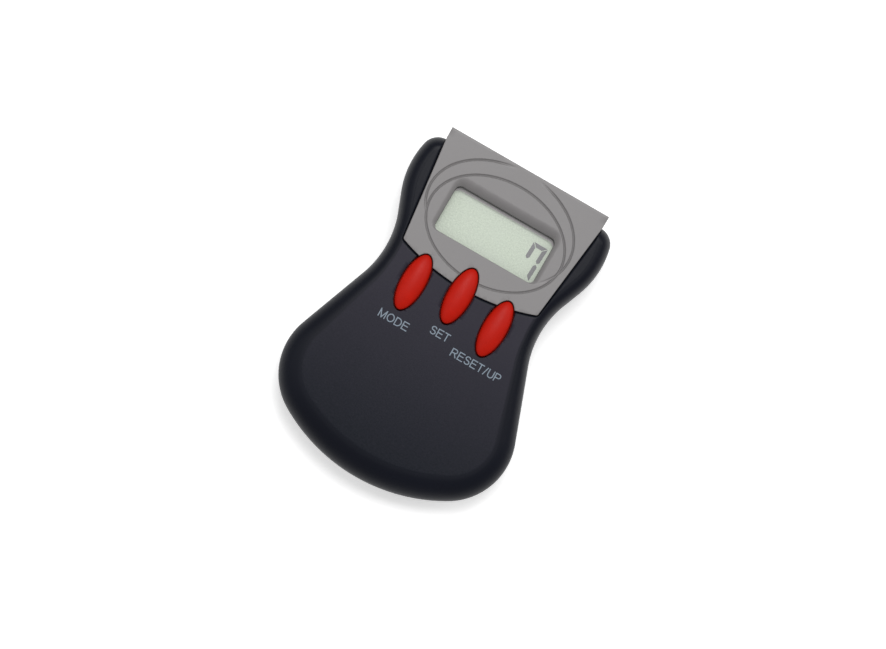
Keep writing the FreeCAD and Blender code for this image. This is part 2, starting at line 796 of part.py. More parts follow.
def make_gasket():
    body = new_body("lens_gasket")
    low = "face - bezel_thick - lens_thick - gasket_thick"

    def frame(sketch):
        rectangle(sketch, "-lens_width / 2", "lens_low", "lens_width / 2", "lens_high")
        rectangle(sketch, "-lens_width / 2 + gasket_rim", "lens_low + gasket_rim",
                  "lens_width / 2 - gasket_rim", "lens_high - gasket_rim")

    add(body, "gasket_frame", low, f"{low} + gasket_thick", frame)
    return body


def make_display_stack():
    half = "glass_width / 2"
    glass = block("lcd_glass", f"-{half}", "glass_low", "glass_back", half, "glass_high", "glass_face")
    left, right = f"-{half} + stack_margin", f"{half} - stack_margin"
    back = block("lcd_reflector", left, "glass_low + reflector_low", "glass_back - reflector_thick",
                 right, "glass_high - reflector_high", "glass_back")
    zebra = block("zebra_strip", left, "glass_low + zebra_start", "board_high",
                  right, "glass_low + zebra_start + zebra_depth", "glass_back")
    return [glass, back, zebra]


# ---------------------------------------------------------------- buttons and keypad
def make_button(name, x, y):
    """Elliptical cap with a domed top and a flange that keeps it in the case."""
    profile = doc.addObject("Part::Ellipse", name + "_profile")
    profile.setExpression("MajorRadius", bound("button_y_radius"))
    profile.setExpression("MinorRadius", bound("button_x_radius"))
    profile.Placement.Rotation = FreeCAD.Rotation(V(0, 0, 1), 90)
    place(profile, x, y, "flange_low")
    stem = doc.addObject("Part::Extrusion", name + "_stem")
    stem.Base = profile
    stem.Dir = V(0, 0, 1)
    stem.Solid = True
    stem.setExpression("LengthFwd", bound("button_shoulder - flange_low"))
    dome = doc.addObject("Part::Ellipsoid", name + "_dome")
    dome.setExpression("Radius1", bound("button_dome"))
    dome.setExpression("Radius2", bound("button_x_radius"))
    dome.setExpression("Radius3", bound("button_y_radius"))
    dome.Angle1 = 0
    place(dome, x, y, "button_shoulder")
    flange = block(name + "_flange", f"{x} - flange_width / 2", f"{y} - flange_length / 2", "flange_low",
                   f"{x} + flange_width / 2", f"{y} + flange_length / 2", "flange_high")
    return united(name, stem, dome, flange)


def make_keypad():
    """Rubber sheet with one solid bump under each button."""
    body = new_body("keypad")
    add(body, "keypad_sheet", "board_high", "board_high + keypad_thick",
        lambda s: rectangle(s, "-keypad_width / 2", "keypad_low", "keypad_width / 2", "keypad_high"))

    def bumps(sketch):
        size = ("button_x_radius - bump_margin", "button_y_radius - 2 * bump_margin")
        ellipse(sketch, "0", "middle_button_y", *size)
        ellipse(sketch, "outer_button_x", "outer_button_y", *size)
        ellipse(sketch, "-outer_button_x", "outer_button_y", *size)

    add(body, "keypad_bumps", "board_high + keypad_thick - bite", "flange_low", bumps)
    return body


# ---------------------------------------------------------------- circuit board
def make_board():
    body = new_body("circuit_board")
    points = [("-board_width / 2", "board_bottom"), ("tail_left", "board_bottom"),
              ("tail_left", "tail_bottom"), ("tail_right", "tail_bottom"),
              ("tail_right", "board_bottom - tail_step"),
              ("board_width / 2", "board_bottom + tail_step"), ("board_width / 2", "shoulder_low"),
              ("shoulder_width / 2", "shoulder_low"), ("shoulder_width / 2", "shoulder_high"),
              ("board_width / 2", "shoulder_high"), ("board_width / 2", "board_top"),
              ("-board_width / 2", "board_top"), ("-board_width / 2", "shoulder_high"),
              ("-shoulder_width / 2", "shoulder_high"), ("-shoulder_width / 2", "shoulder_low"),
              ("-board_width / 2", "shoulder_low")]
    add(body, "board_plate", "board_low", "board_high", lambda s: polygon(s, points))

    def holes(sketch):
        for side in ("", "-"):
            circle(sketch, side + BOARD[0], BOARD[1], "clearance_hole")
            circle(sketch, side + SHOULDER[0], SHOULDER[1], "clearance_hole")
        for x, y in RIVETS:
            circle(sketch, x, y, "shank")

    cut(body, "board_holes", "board_low - past", "board_high + past", holes)
    return body


RIVETS = [("pivot_x + rivet_left", "pivot_y + rivet_high"),
          ("pivot_x + rivet_right", "pivot_y + rivet_high"),
          ("pivot_x + rivet_middle", "pivot_y + rivet_low")]
SMD_COLUMNS, SMD_ROWS = 4, 2


def make_components():
    """Epoxy blob over the controller, small surface-mount parts and the timing crystal."""
    blob = rod("chip_body", "0", "chip_y", "board_low - chip_edge", "board_low", "chip_radius")
    cap = rod("chip_cap", "0", "chip_y", "board_low - chip_thick", "board_low - chip_edge",
              "chip_cap_radius")
    chip = united("controller_chip", blob, cap)
    parts = []
    for i in range(SMD_COLUMNS * SMD_ROWS):
        x = f"smd_x + {i % SMD_COLUMNS} * smd_pitch"
        y = f"smd_y + {i // SMD_COLUMNS} * smd_pitch"
        parts.append(block(f"smd_{i}", x, y, "board_low - smd_thick",
                           f"{x} + smd_width", f"{y} + smd_length", "board_low"))
    smd = grouped("smd_components", parts)
    crystal = doc.addObject("Part::Cylinder", "quartz_crystal")
    crystal.setExpression("Radius", bound("crystal_radius"))
    crystal.setExpression("Height", bound("crystal_length"))
    crystal.Placement.Rotation = FreeCAD.Rotation(V(0, 1, 0), 90)
    place(crystal, "crystal_x", "crystal_y", "board_high + crystal_radius")
    return [chip, smd, crystal]


# ---------------------------------------------------------------- button cell, contacts and door
def make_cell():
    step = "cell_high - cell_cap_thick"
    can = rod("cell_can", "cell_x", "cell_y", "cell_low", step, "cell_radius")
    cap = rod("cell_cap", "cell_x", "cell_y", step, "cell_high", "cell_radius - cell_cap_inset")
    return united("button_cell", can, cap)


def make_contacts():
    """Spring strips of tinned bronze, both soldered to the rear of the board."""
    strip_low = "board_low - strip"
    finger = block("minus_finger", "cell_x - finger_half_width", "cell_y - finger_start", strip_low,
                   "cell_x + finger_half_width", "cell_y + finger_end", "board_low")
    pad = block("minus_pad", "cell_x + pad_left", "board_bottom - pad_overlap", strip_low,
                "cell_x + pad_right", "board_bottom + pad_overlap", "board_low")
    dimple = rod("minus_dimple", "cell_x", "cell_y", "cell_high", "board_low - strip / 2", "dimple_radius")
    minus = united("battery_contact_minus", finger, pad, dimple)
    side = "cell_x + cell_radius + blade_gap"
    blade = block("plus_blade", side, "cell_y - blade_half_length", "door_neck_top + blade_low",
                  f"{side} + strip", "cell_y + blade_half_length", "board_low")
    foot = block("plus_foot", side, "cell_y + blade_half_length - pad_left", strip_low,
                 f"{side} + blade_foot", "board_bottom + pad_overlap", "board_low")
    plus = united("battery_contact_plus", blade, foot)
    return [minus, plus]


def make_door():
    body = new_body("battery_door")
    add(body, "door_flange_disc", "0", "door_flange_thick",
        lambda s: circle(s, "cell_x", "cell_y", "door_flange"))
    add(body, "door_neck_disc", "door_flange_thick", "door_neck_top",
        lambda s: circle(s, "cell_x", "cell_y", "door_neck"))
    for turn in (0, 180):
        add(body, f"door_tab_{turn}", "back_floor + tab_clearance", "door_neck_top",
            lambda s, turn=turn: tab_sector(s, turn, number("tab_reach"), number("tab_half_angle")))
    cut(body, "door_well", "door_disc", "door_neck_top + past",
        lambda s: circle(s, "cell_x", "cell_y", "door_bore"))
    cut(body, "coin_slot", "-past", "coin_slot_depth",
        lambda s: rectangle(s, "cell_x - coin_slot_length / 2", "cell_y - coin_slot_width / 2",
                            "cell_x + coin_slot_length / 2", "cell_y + coin_slot_width / 2"))
    return body


def make_door_seal():
    ring = rod("seal_disc", "cell_x", "cell_y", "door_flange_thick", "counterbore_depth",
               "door_flange - seal_clearance")
    hole = rod("seal_hole", "cell_x", "cell_y", "0", "counterbore_depth + past",
               "door_neck + seal_clearance")
    return without("door_seal", ring, hole)


# ---------------------------------------------------------------- pendulum
BASE_FACE = "board_low - base_thick"
ARM_TOP = "arm_low + arm_thick"
WEIGHT_X = "pivot_x + arm_reach"


def make_pendulum_base():
    """White carrier plate riveted under the board, with a post that holds one end of the spring."""
    plate = block("base_plate", "pivot_x - base_left", "pivot_y - base_low", BASE_FACE,
                  "pivot_x + base_right", "pivot_y + base_high", "board_low")
    holes = united("base_rivet_holes", *[
        rod(f"base_hole_{i}", x, y, f"{BASE_FACE} - past", "board_low + past", "shank")
        for i, (x, y) in enumerate(RIVETS)])
    post = rod("spring_post", "pivot_x + post_x", "pivot_y + post_y", "arm_low - stop_low",
               f"{BASE_FACE} + bite", "post_radius")
    return without("pendulum_base", united("base_blank", plate, post), holes)


def make_pivot_pin():
    low = "arm_low - pin_end"
    shaft = rod("pin_shaft", "pivot_x", "pivot_y", low, BASE_FACE, "pivot_radius")
    head = rod("pin_head", "pivot_x", "pivot_y", f"{low} - pin_head_thick", low,
               "pivot_radius + pin_head_rim")
    return united("pendulum_pivot_pin", shaft, head)


def make_arm():
    """Flat lever with a hub on the pivot and an eye for the weight's stud."""
    bar = block("arm_bar", "pivot_x", "pivot_y - arm_width / 2", "arm_low",
                WEIGHT_X, "pivot_y + arm_width / 2", ARM_TOP)
    hub = rod("arm_hub", "pivot_x", "pivot_y", "arm_low - hub_low", f"{ARM_TOP} + hub_high", "hub_radius")
    eye = rod("arm_eye", WEIGHT_X, "pivot_y", "arm_low", ARM_TOP, "eye_radius")
    bores = united("arm_bores",
                   rod("hub_bore", "pivot_x", "pivot_y", "arm_low - hub_low - past",
                       f"{ARM_TOP} + hub_high + past", "pivot_radius + hub_clearance"),
                   rod("eye_bore", WEIGHT_X, "pivot_y", "arm_low - past", f"{ARM_TOP} + past",
                       "stud_radius"))
    return without("pendulum_arm", united("arm_blank", bar, hub, eye), bores)


def make_weight():
    """Steel disc under the end of the arm, with a stud through its eye that is riveted over."""
    disc = rod("weight_disc", WEIGHT_X, "pivot_y", "weight_low", "arm_low", "weight_radius")
    stud = rod("weight_stud", WEIGHT_X, "pivot_y", "arm_low", ARM_TOP, "stud_radius")
    rivet = rod("weight_rivet", WEIGHT_X, "pivot_y", ARM_TOP, f"{ARM_TOP} + stud_head_thick",
                "stud_head_radius")
    return united("pendulum_weight", disc, stud, rivet)


def make_stops():
    """Contact pin that the arm strikes at one end of its swing, and rubber bumper at the other."""
    travel = f"stop_reach * {math.tan(math.radians(SIZES['swing'])):.4f}"
    reach = f"({travel} + arm_width / 2 + stop_clearance)"
    x, low = "pivot_x + stop_reach", "arm_low - stop_low"
    contact = rod("pendulum_contact", x, f"pivot_y + {reach} + contact_radius", low, BASE_FACE,
                  "contact_radius")
    bumper = rod("pendulum_bumper", x, f"pivot_y - {reach} - bumper_radius", low, BASE_FACE,
                 "bumper_radius")
    return [contact, bumper]


def make_rivets():
    rivets = []
    for i, (x, y) in enumerate(RIVETS):
        shank = rod(f"rivet_shank_{i}", x, y, BASE_FACE, "board_high", "shank")
        head = rod(f"rivet_head_{i}", x, y, f"{BASE_FACE} - rivet_head_thick", BASE_FACE,
                   "rivet_head_radius")
        tail = rod(f"rivet_tail_{i}", x, y, "board_high", "board_high + rivet_head_thick",
                   "rivet_head_radius")
        rivets.append(united(f"base_rivet_{i}", shank, head, tail))
    return grouped("base_rivets", rivets)


def make_pendulum_spring():
    """Fine spring that carries the arm level, between the arm and the post of the base."""
    radius, wire = number("carrier_radius"), number("carrier_wire")
    pitch, turns = number("carrier_pitch"), number("carrier_turns")
    profile = Part.Wire([Part.Circle(V(radius, 0, 0), V(0, 1, 0), wire).toShape()])
    spring = doc.addObject("Part::Feature", "pendulum_spring")
    helix = Part.Wire(Part.makeHelix(pitch, pitch * turns, radius).Edges)
    spring.Shape = helix.makePipeShell([profile], True, True)
    low = V(number("pivot_x + post_x"), number("pivot_y + arm_width / 2 + carrier_gap"),
            number("arm_low + carrier_lift"))
    spring.Placement = FreeCAD.Placement(low, FreeCAD.Rotation(V(1, 0, 0), -90))
    spring.Label = "pendulum_spring"
    return spring


# ---------------------------------------------------------------- belt clip
def make_clip():
    body = new_body("belt_clip")
    add(body, "clip_plate", "0", "clip_thick",
        lambda s: rectangle(s, "-clip_half_width", "clip_low", "clip_half_width", "clip_high"))
    add(body, "clip_jaw", "clip_thick - bite", "jaw_high",
        lambda s: rectangle(s, "-jaw_half_width", "clip_low", "jaw_half_width", "clip_low + jaw_length"))
    for side, low, high in (("right", "clip_half_width - knuckle_width", "clip_half_width"),
                            ("left", "-clip_half_width", "-clip_half_width + knuckle_width")):
        add(body, f"knuckle_{side}", low, high, lambda s: hinge_circle(s, "knuckle"), "YZ_Plane")
    cut(body, "spring_window", "-past", "clip_thick + past",
        lambda s: rectangle(s, "-window_half_width", "hinge_y - window_below_hinge",
                            "window_half_width", "hinge_y + window_above_hinge"))
    cut(body, "knuckle_bore", "-clip_half_width - past", "clip_half_width + past",
        lambda s: hinge_circle(s, "pin_radius + pin_clearance"), "YZ_Plane")
    doc.recompute()
    rounded = round_edges(body, "clip_corners", body.Tip, "clip_corner", clip_corner)
    body.Tip = rounded
    return body


def clip_corner(edge):
    point = edge.Vertexes[0].Point
    at_end = abs(point.y - number("clip_low")) < NEAR or abs(point.y - number("clip_high")) < NEAR
    return vertical(edge) and at_end and abs(abs(point.x) - number("clip_half_width")) < NEAR


def make_clip_pin():
    pin = doc.addObject("Part::Cylinder", "clip_pin")
    pin.setExpression("Radius", bound("pin_radius"))
    pin.setExpression("Height", bound("2 * (clip_half_width + lug_gap + lug_width)"))
    pin.Placement.Rotation = FreeCAD.Rotation(V(0, 1, 0), 90)
    place(pin, "-clip_half_width - lug_gap - lug_width", "hinge_y", "hinge_z")
    return pin


def make_clip_spring():
    """Torsion spring on the pin: one leg on the case, one leaning down on the clip's thumb tab."""
    wire, pitch = number("spring_wire"), number("spring_pitch")
    length = pitch * (number("spring_turns") + number("tab_leg_lean") / 360)
    radius = number("pin_radius + spring_slack") + wire
    turns = Part.makeHelix(pitch, length, radius).Edges[0]
    start, finish = turns.valueAt(turns.FirstParameter), turns.valueAt(turns.LastParameter)
    start_way, finish_way = turns.tangentAt(turns.FirstParameter), turns.tangentAt(turns.LastParameter)
    case_leg = Part.makeLine(start - start_way * number("case_leg_length"), start)
    tab_leg = Part.makeLine(finish, finish + finish_way * number("tab_leg_length"))
    section = Part.Circle(case_leg.Vertexes[0].Point, start_way, wire).toShape()
    spring = doc.addObject("Part::Feature", "clip_spring")
    spring.Shape = Part.Wire([case_leg, turns, tab_leg]).makePipeShell([Part.Wire([section])], True, True)
    spring.Placement = FreeCAD.Placement(V(length / 2, number("hinge_y"), number("hinge_z")),
                                         FreeCAD.Rotation(V(0, 1, 0), -90))
    spring.Label = "clip_spring"
    return spring


# ---------------------------------------------------------------- screws
def make_screw(name, x, y, seat, tip):
    """Pan head below the seat with a cross recess, plain shank up to the tip."""
    head = rod(name + "_head", x, y, f"{seat} - head_thick", seat, "head_radius")
    shank = rod(name + "_shank", x, y, seat, tip, "shank")
    face = f"{seat} - head_thick"
    sides = {}
    for bar, half_x, half_y in (("a", "recess_reach", "recess_half_width"),
                                ("b", "recess_half_width", "recess_reach")):
        sides[bar] = block(f"{name}_recess_{bar}", f"{x} - {half_x}", f"{y} - {half_y}", f"{face} - past",
                           f"{x} + {half_x}", f"{y} + {half_y}", f"{face} + recess_depth")
    cross = united(name + "_cross", sides["a"], sides["b"])
    return without(name, united(name + "_blank", head, shank), cross)


def make_screws():
    case, board = [], []
    for side in ("", "-"):
        tag = "left" if side else "right"
        case.append(make_screw(f"lobe_screw_{tag}", side + LOBE[0], LOBE[1], "lobe_seat", "screw_tip"))
        case.append(make_screw(f"ear_screw_{tag}", side + EAR[0], EAR[1], "ear_seat", "screw_tip"))
        for place_name, (x, y) in (("low", BOARD), ("high", SHOULDER)):
            board.append(make_screw(f"board_screw_{place_name}_{tag}", side + x, y, "board_low",
                                    "screw_tip"))
    return [grouped("case_screws", case), grouped("board_screws", board)]


# ---------------------------------------------------------------- build, check and write
def main():
    nodes = [make_front_cover(), make_rear_cover(), make_bezel(), make_lens(), make_gasket()]
    nodes += make_display_stack()
    nodes += [make_button("mode_button", "-outer_button_x", "outer_button_y"),
              make_button("set_button", "0", "middle_button_y"),
              make_button("reset_button", "outer_button_x", "outer_button_y")]
    nodes += [make_keypad(), make_board()]
    nodes += make_components()
    nodes += [make_cell()]
    nodes += make_contacts()
    nodes += [make_door(), make_door_seal()]
    nodes += [make_pendulum_base(), make_pivot_pin(), make_arm(), make_weight()]
    nodes += make_stops()
    nodes += [make_rivets(), make_pendulum_spring(), make_clip(), make_clip_pin(), make_clip_spring()]
    nodes += make_screws()
    doc.recompute()
    for item in doc.Objects:
        if "Invalid" in item.State or "Error" in item.State:
            raise RuntimeError(f"{item.Name} did not recompute: {item.State}")
        if item.TypeId == "PartDesign::Pocket":
            removed = item.BaseFeature.Shape.Volume - item.Shape.Volume
            if removed < LEAST_CUT:
                raise RuntimeError(f"{item.Name} cuts nothing")
    os.makedirs("parts", exist_ok=True)
    for item in nodes:
        shape = item.Shape
        if shape.isNull() or not shape.isValid():
            raise RuntimeError(f"{item.Label} has no valid shape")
        box = shape.BoundBox
        print(f"{item.Label:24s} {len(shape.Solids)} solid(s) {shape.Volume:9.1f} mm3  "
              f"x {box.XMin:6.2f} {box.XMax:6.2f}  y {box.YMin:6.2f} {box.YMax:6.2f}  "
              f"z {box.ZMin:6.2f} {box.ZMax:6.2f}")
        shape.exportStep(f"parts/{item.Label}.step")


main()
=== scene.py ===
# %% [markdown]
# # A clip-on step counter, dressed for a close look
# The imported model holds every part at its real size, in one frame: +X to the right of the display,
# +Y to the top of the display, +Z out of it, and the table at z = 0. This lesson loads that model as
# it is, then gives it finer shells, finishes, printing and the small roundings that the eye expects.
# Nothing below moves or resizes a part of the frame.

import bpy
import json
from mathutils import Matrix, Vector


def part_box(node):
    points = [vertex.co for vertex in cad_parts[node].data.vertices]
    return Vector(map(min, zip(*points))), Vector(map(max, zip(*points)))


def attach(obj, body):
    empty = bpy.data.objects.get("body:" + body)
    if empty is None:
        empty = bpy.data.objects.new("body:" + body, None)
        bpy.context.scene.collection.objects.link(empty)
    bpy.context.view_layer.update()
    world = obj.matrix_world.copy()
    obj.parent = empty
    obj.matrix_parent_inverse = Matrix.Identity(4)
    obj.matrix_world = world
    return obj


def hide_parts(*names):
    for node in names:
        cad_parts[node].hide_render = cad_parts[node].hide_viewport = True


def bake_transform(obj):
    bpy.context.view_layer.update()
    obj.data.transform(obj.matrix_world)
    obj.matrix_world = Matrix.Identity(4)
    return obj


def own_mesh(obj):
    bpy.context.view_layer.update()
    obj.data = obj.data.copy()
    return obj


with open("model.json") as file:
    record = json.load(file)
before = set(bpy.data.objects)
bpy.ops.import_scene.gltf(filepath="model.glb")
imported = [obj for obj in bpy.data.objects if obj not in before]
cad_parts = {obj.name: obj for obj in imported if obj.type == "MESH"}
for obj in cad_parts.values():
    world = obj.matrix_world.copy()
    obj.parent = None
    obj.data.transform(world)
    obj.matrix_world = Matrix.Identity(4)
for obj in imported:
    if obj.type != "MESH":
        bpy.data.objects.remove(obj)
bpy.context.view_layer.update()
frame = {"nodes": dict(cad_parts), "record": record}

# %% Tools and units
import json
import math

import bmesh
import bpy
from mathutils import Matrix, Vector
from mathutils.geometry import delaunay_2d_cdt

MM = 0.001


def millimetres(node):
    """Lowest and highest corner of a part of the frame, in millimetres."""
    low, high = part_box(node)
    return low / MM, high / MM


shell_low, shell_high = millimetres("front_cover")
print("front shell:", [round(v, 2) for v in shell_low], [round(v, 2) for v in shell_high])

# %% [markdown]
# ## Camera
# The counter is seen almost straight down, turned 30 degrees clockwise, with a long lens from about
# a metre, so that near and far parts keep nearly the same scale. A small lean towards the lower end
# shows the edge of the back shell there. The camera's own axes are worked out first, because a turned
# view from above has no simple pair of angles.

# %% Camera
TURN = math.radians(30.0)
LEAN = math.radians(2.5)
DISTANCE = 1.052
middle = Vector((0.0, 0.0, 0.012))
backwards = Vector((0.0, -math.sin(LEAN), math.cos(LEAN)))
rightwards = Vector((math.cos(TURN), math.sin(TURN), 0.0))
rightwards = (rightwards - backwards * rightwards.dot(backwards)).normalized()
upwards = backwards.cross(rightwards)
lens = bpy.data.cameras.new("camera")
lens.lens = 200.0
lens.sensor_width = 36.0
lens.clip_start = 0.01
camera = bpy.data.objects.new("camera", lens)
axes = Matrix((rightwards, upwards, backwards)).transposed().to_4x4()
camera.matrix_world = Matrix.Translation(middle + backwards * DISTANCE) @ axes
bpy.context.scene.collection.objects.link(camera)
bpy.context.scene.camera = camera
print("camera at", [round(v, 3) for v in camera.location])

# %% [markdown]
# ## Table and light
# A pale table and large soft lamps, as for a catalogue. The main lamp stands above the top of the
# view, so the rounded rim catches a long soft highlight at the upper right and the lower end
# falls off. A lamp's size sets how soft its shadow is, and its distance how even its light.

# %% Table
table_mesh = bpy.data.meshes.new("table")
HALF_TABLE = 4.0
TABLE_TOP = -0.00002
corners = [(x * HALF_TABLE, y * HALF_TABLE, TABLE_TOP) for x, y in ((-1, -1), (1, -1), (1, 1), (-1, 1))]
table_mesh.from_pydata(corners, [], [(0, 1, 2, 3)])
table = bpy.data.objects.new("table", table_mesh)
bpy.context.scene.collection.objects.link(table)
paper = bpy.data.materials.new("white_paper")
paper.use_nodes = True
paper_shader = paper.node_tree.nodes["Principled BSDF"]
paper_shader.inputs["Base Color"].default_value = (0.95, 0.95, 0.95, 1.0)
paper_shader.inputs["Roughness"].default_value = 0.9
paper_shader.inputs["Specular IOR Level"].default_value = 0.1
paper_shader.inputs["Emission Color"].default_value = (1.0, 1.0, 1.0, 1.0)
paper_shader.inputs["Emission Strength"].default_value = 0.38
table_mesh.materials.append(paper)
print("table top at", TABLE_TOP / MM, "mm")

# %% Lamps
image_right = Vector((math.cos(TURN), math.sin(TURN), 0.0))
image_up = Vector((-math.sin(TURN), math.cos(TURN), 0.0))


def softbox(name, right, up, height, size, watts):
    """A square lamp placed by the view's own right and up, aimed at the counter."""
    data = bpy.data.lights.new(name, "AREA")
    data.size = size
    data.energy = watts
    lamp = bpy.data.objects.new(name, data)
    place = image_right * right + image_up * up + Vector((0, 0, height))
    lamp.matrix_world = Matrix.Translation(place) @ place.to_track_quat("Z", "Y").to_matrix().to_4x4()
    bpy.context.scene.collection.objects.link(lamp)
    return lamp


softbox("top_softbox", 0.12, 0.34, 0.95, 0.45, 5.9)
softbox("side_softbox", 0.8, 0.1, 0.8, 0.45, 2.0)
softbox("fill_softbox", -0.7, 0.1, 0.9, 0.8, 1.6)
world = bpy.data.worlds.new("studio")
world.use_nodes = True
world.node_tree.nodes["Background"].inputs["Color"].default_value = (1.0, 1.0, 1.0, 1.0)
world.node_tree.nodes["Background"].inputs["Strength"].default_value = 0.40
bpy.context.scene.world = world
bpy.context.scene.view_settings.view_transform = "Standard"
print(len(bpy.data.lights), "lamps and a white world")

# %% [markdown]
# ## Finishes
# Each finish is a small node tree on the Principled shader. Moulded plastic is never perfectly even:
# its grain is a fine bump, its roughness wanders a little, and its colour drifts by a few percent.
# All patterns read Object coordinates in metres, so their scale is real: a noise scale of 4000 gives
# grain a quarter of a millimetre across.

# %% A short way to write node trees
class Nodes:
    """The moves that every node tree shares: add a node, feed a socket, do a sum."""

    def node(self, kind, settings=None, **inputs):
        made = self.tree.nodes.new(kind)
        for key, value in (settings or {}).items():
            setattr(made, key, value)
        for key, value in inputs.items():
            self.feed(made.inputs[key.replace("_", " ")], value)
        return made

    def feed(self, socket, value):
        if isinstance(value, bpy.types.NodeSocket):
            self.tree.links.new(value, socket)
        else:
            socket.default_value = value

    def maths(self, operation, first, second=0.0):
        made = self.node("ShaderNodeMath", {"operation": operation})
        self.feed(made.inputs[0], first)
        self.feed(made.inputs[1], second)
        return made.outputs[0]

    def plus(self, first, second):
        return self.maths("ADD", first, second)

    def minus(self, first, second):
        return self.maths("SUBTRACT", first, second)

    def times(self, first, second):
        return self.maths("MULTIPLY", first, second)

    def over(self, first, second):
        return self.maths("DIVIDE", first, second)


def toned(colour, share):
    """The colour made darker or lighter by a share, with its fourth number."""
    return (*[min(1.0, part * share) for part in colour], 1.0)


class Finish(Nodes):
    """A material and the few node moves that the finishes below share."""

    def __init__(self, name, colour, roughness, metallic=0.0, alpha=1.0):
        self.material = bpy.data.materials.new(name)
        self.material.use_nodes = True
        self.tree = self.material.node_tree
        self.shader = self.tree.nodes["Principled BSDF"]
        self.shader.inputs["Base Color"].default_value = (*colour, 1.0)
        self.shader.inputs["Roughness"].default_value = roughness
        self.shader.inputs["Metallic"].default_value = metallic
        self.shader.inputs["Alpha"].default_value = alpha
        self.material.diffuse_color = (*colour, 1.0)
        self.colour = colour
        self.place = self.tree.nodes.new("ShaderNodeTexCoord").outputs["Object"]

    def stored(self):
        """The number that the piece's UV map holds at each point."""
        held = self.node("ShaderNodeUVMap").outputs["UV"]
        return self.node("ShaderNodeSeparateXYZ", Vector=held).outputs["X"]

    def noise(self, scale, detail=2.0, roughness=0.5, stretch=None):
        place = self.place
        if stretch:
            place = self.node("ShaderNodeMapping", Vector=self.place, Scale=stretch).outputs["Vector"]
        made = self.node("ShaderNodeTexNoise", Vector=place, Scale=scale, Detail=detail,
                         Roughness=roughness)
        return made.outputs["Fac"]

    def spread(self, value, low, high):
        """Take a 0 to 1 value to the range low to high."""
        made = self.node("ShaderNodeMapRange", Value=value, From_Min=0.25, From_Max=0.75, To_Min=low,
                         To_Max=high)
        return made.outputs["Result"]

    def blend(self, factor, first, second):
        made = self.tree.nodes.new("ShaderNodeMix")
        made.data_type = "RGBA"
        self.feed(made.inputs["Factor"], factor)
        colours = [socket for socket in made.inputs if socket.type == "RGBA"]
        self.feed(colours[0], first)
        self.feed(colours[1], second)
        return [socket for socket in made.outputs if socket.type == "RGBA"][0]

    def shade(self, factor, amount):
        """Let the base colour drift lighter and darker by amount, following factor."""
        tint = self.blend(factor, toned(self.colour, 1 - amount), toned(self.colour, 1 + amount))
        self.feed(self.shader.inputs["Base Color"], tint)

    def bump(self, height, strength, distance, below=None):
        made = self.node("ShaderNodeBump", Height=height, Strength=strength, Distance=distance)
        if below is not None:
            self.feed(made.inputs["Normal"], below)
        return made.outputs["Normal"]

    def finish(self, normal=None, roughness=None):
        if normal is not None:
            self.feed(self.shader.inputs["Normal"], normal)
        if roughness is not None:
            self.feed(self.shader.inputs["Roughness"], roughness)
        return self.material


print("finish maker ready")

# %% [markdown]
# ## The dark case plastic
# The case has two looks in one moulding. The face is spark-eroded: a fine matt grain. The band that
# rounds down to the side is left smooth, so it looks darker and catches a soft line of light. One
# material serves both, so the edge between them stays sharp: the piece's UV map stores how far inside
# the face's edge each point lies, and that number brings the grain in over the last half millimetre.
# The face's colour also holds painted shade: it darkens towards the lower end, where the face slopes away
# from the main lamp, and is lightest by the keys.

# %% Case plastic
CASE = (0.0026, 0.0036, 0.0084)
# The next four values paint shade into the face's colour: darker towards the lower end, where the face
# slopes away from the lamp.
FACE_LIT_BY_KEYS = (0.0215, 0.0200, 0.0300)
FACE_SHADED_LOW_END = (0.0036, 0.0060, 0.0105)
SHADE_FULL_BELOW, SHADE_GONE_ABOVE = -32.0, 4.0
REAR_CASE = (0.0072, 0.0082, 0.0128)
BEZEL_GREY = (0.194, 0.186, 0.187)
# Painted shade in the bezel's grooves: how far their colour darkens at full depth.
GROOVE_PAINTED_SHADE = 0.26
BUTTON_RED = (0.430, 0.007, 0.001)


def case_face_plastic():
    made = Finish("case_face_plastic", CASE, 0.42)
    made.shader.inputs["Specular IOR Level"].default_value = 0.16
    edge = made.node("ShaderNodeMapRange", Value=made.stored(), From_Min=0.15, From_Max=0.85)
    edge = edge.outputs["Result"]
    grain = made.noise(7000.0, 3.0, 0.65)
    coarse = made.noise(2600.0, 2.0, 0.5)
    patches = made.noise(60.0, 3.0, 0.5)
    # Painted shade: the face's colour darkens along Y from the keys to the lower end.
    along = made.node("ShaderNodeSeparateXYZ", Vector=made.place).outputs["Y"]
    lit_share = made.node("ShaderNodeMapRange", Value=along, From_Min=SHADE_FULL_BELOW * MM,
                      From_Max=SHADE_GONE_ABOVE * MM)
    ground = made.blend(lit_share.outputs["Result"], (*FACE_SHADED_LOW_END, 1.0), (*FACE_LIT_BY_KEYS, 1.0))
    face_with_painted_shade = made.blend(made.spread(coarse, 0.0, 0.25), ground, toned(FACE_LIT_BY_KEYS, 1.4))
    rim = made.blend(made.spread(patches, 0.0, 1.0), toned(CASE, 0.92), toned(CASE, 1.08))
    made.feed(made.shader.inputs["Base Color"], made.blend(edge, rim, face_with_painted_shade))
    fine = made.bump(made.times(grain, edge), 0.55, 0.00006)
    both = made.bump(coarse, 0.10, 0.00010, fine)
    rough = made.plus(made.times(edge, 0.10), made.spread(patches, 0.40, 0.48))
    return made.finish(both, rough)


def moulded_plastic(name, colour, roughness, grain_size=0.20, depth=0.5, drift=0.06, shine=0.5):
    """Matt moulded plastic: fine grain, slight drift of colour and gloss."""
    made = Finish(name, colour, roughness)
    made.shader.inputs["Specular IOR Level"].default_value = shine
    grain = made.noise(1000.0 / grain_size, 3.0, 0.6)
    patches = made.noise(90.0, 3.0, 0.5)
    made.shade(made.spread(patches, 0.0, 1.0), drift)
    relief = made.bump(grain, depth, 0.00005)
    return made.finish(relief, made.spread(patches, roughness - 0.04, roughness + 0.05))


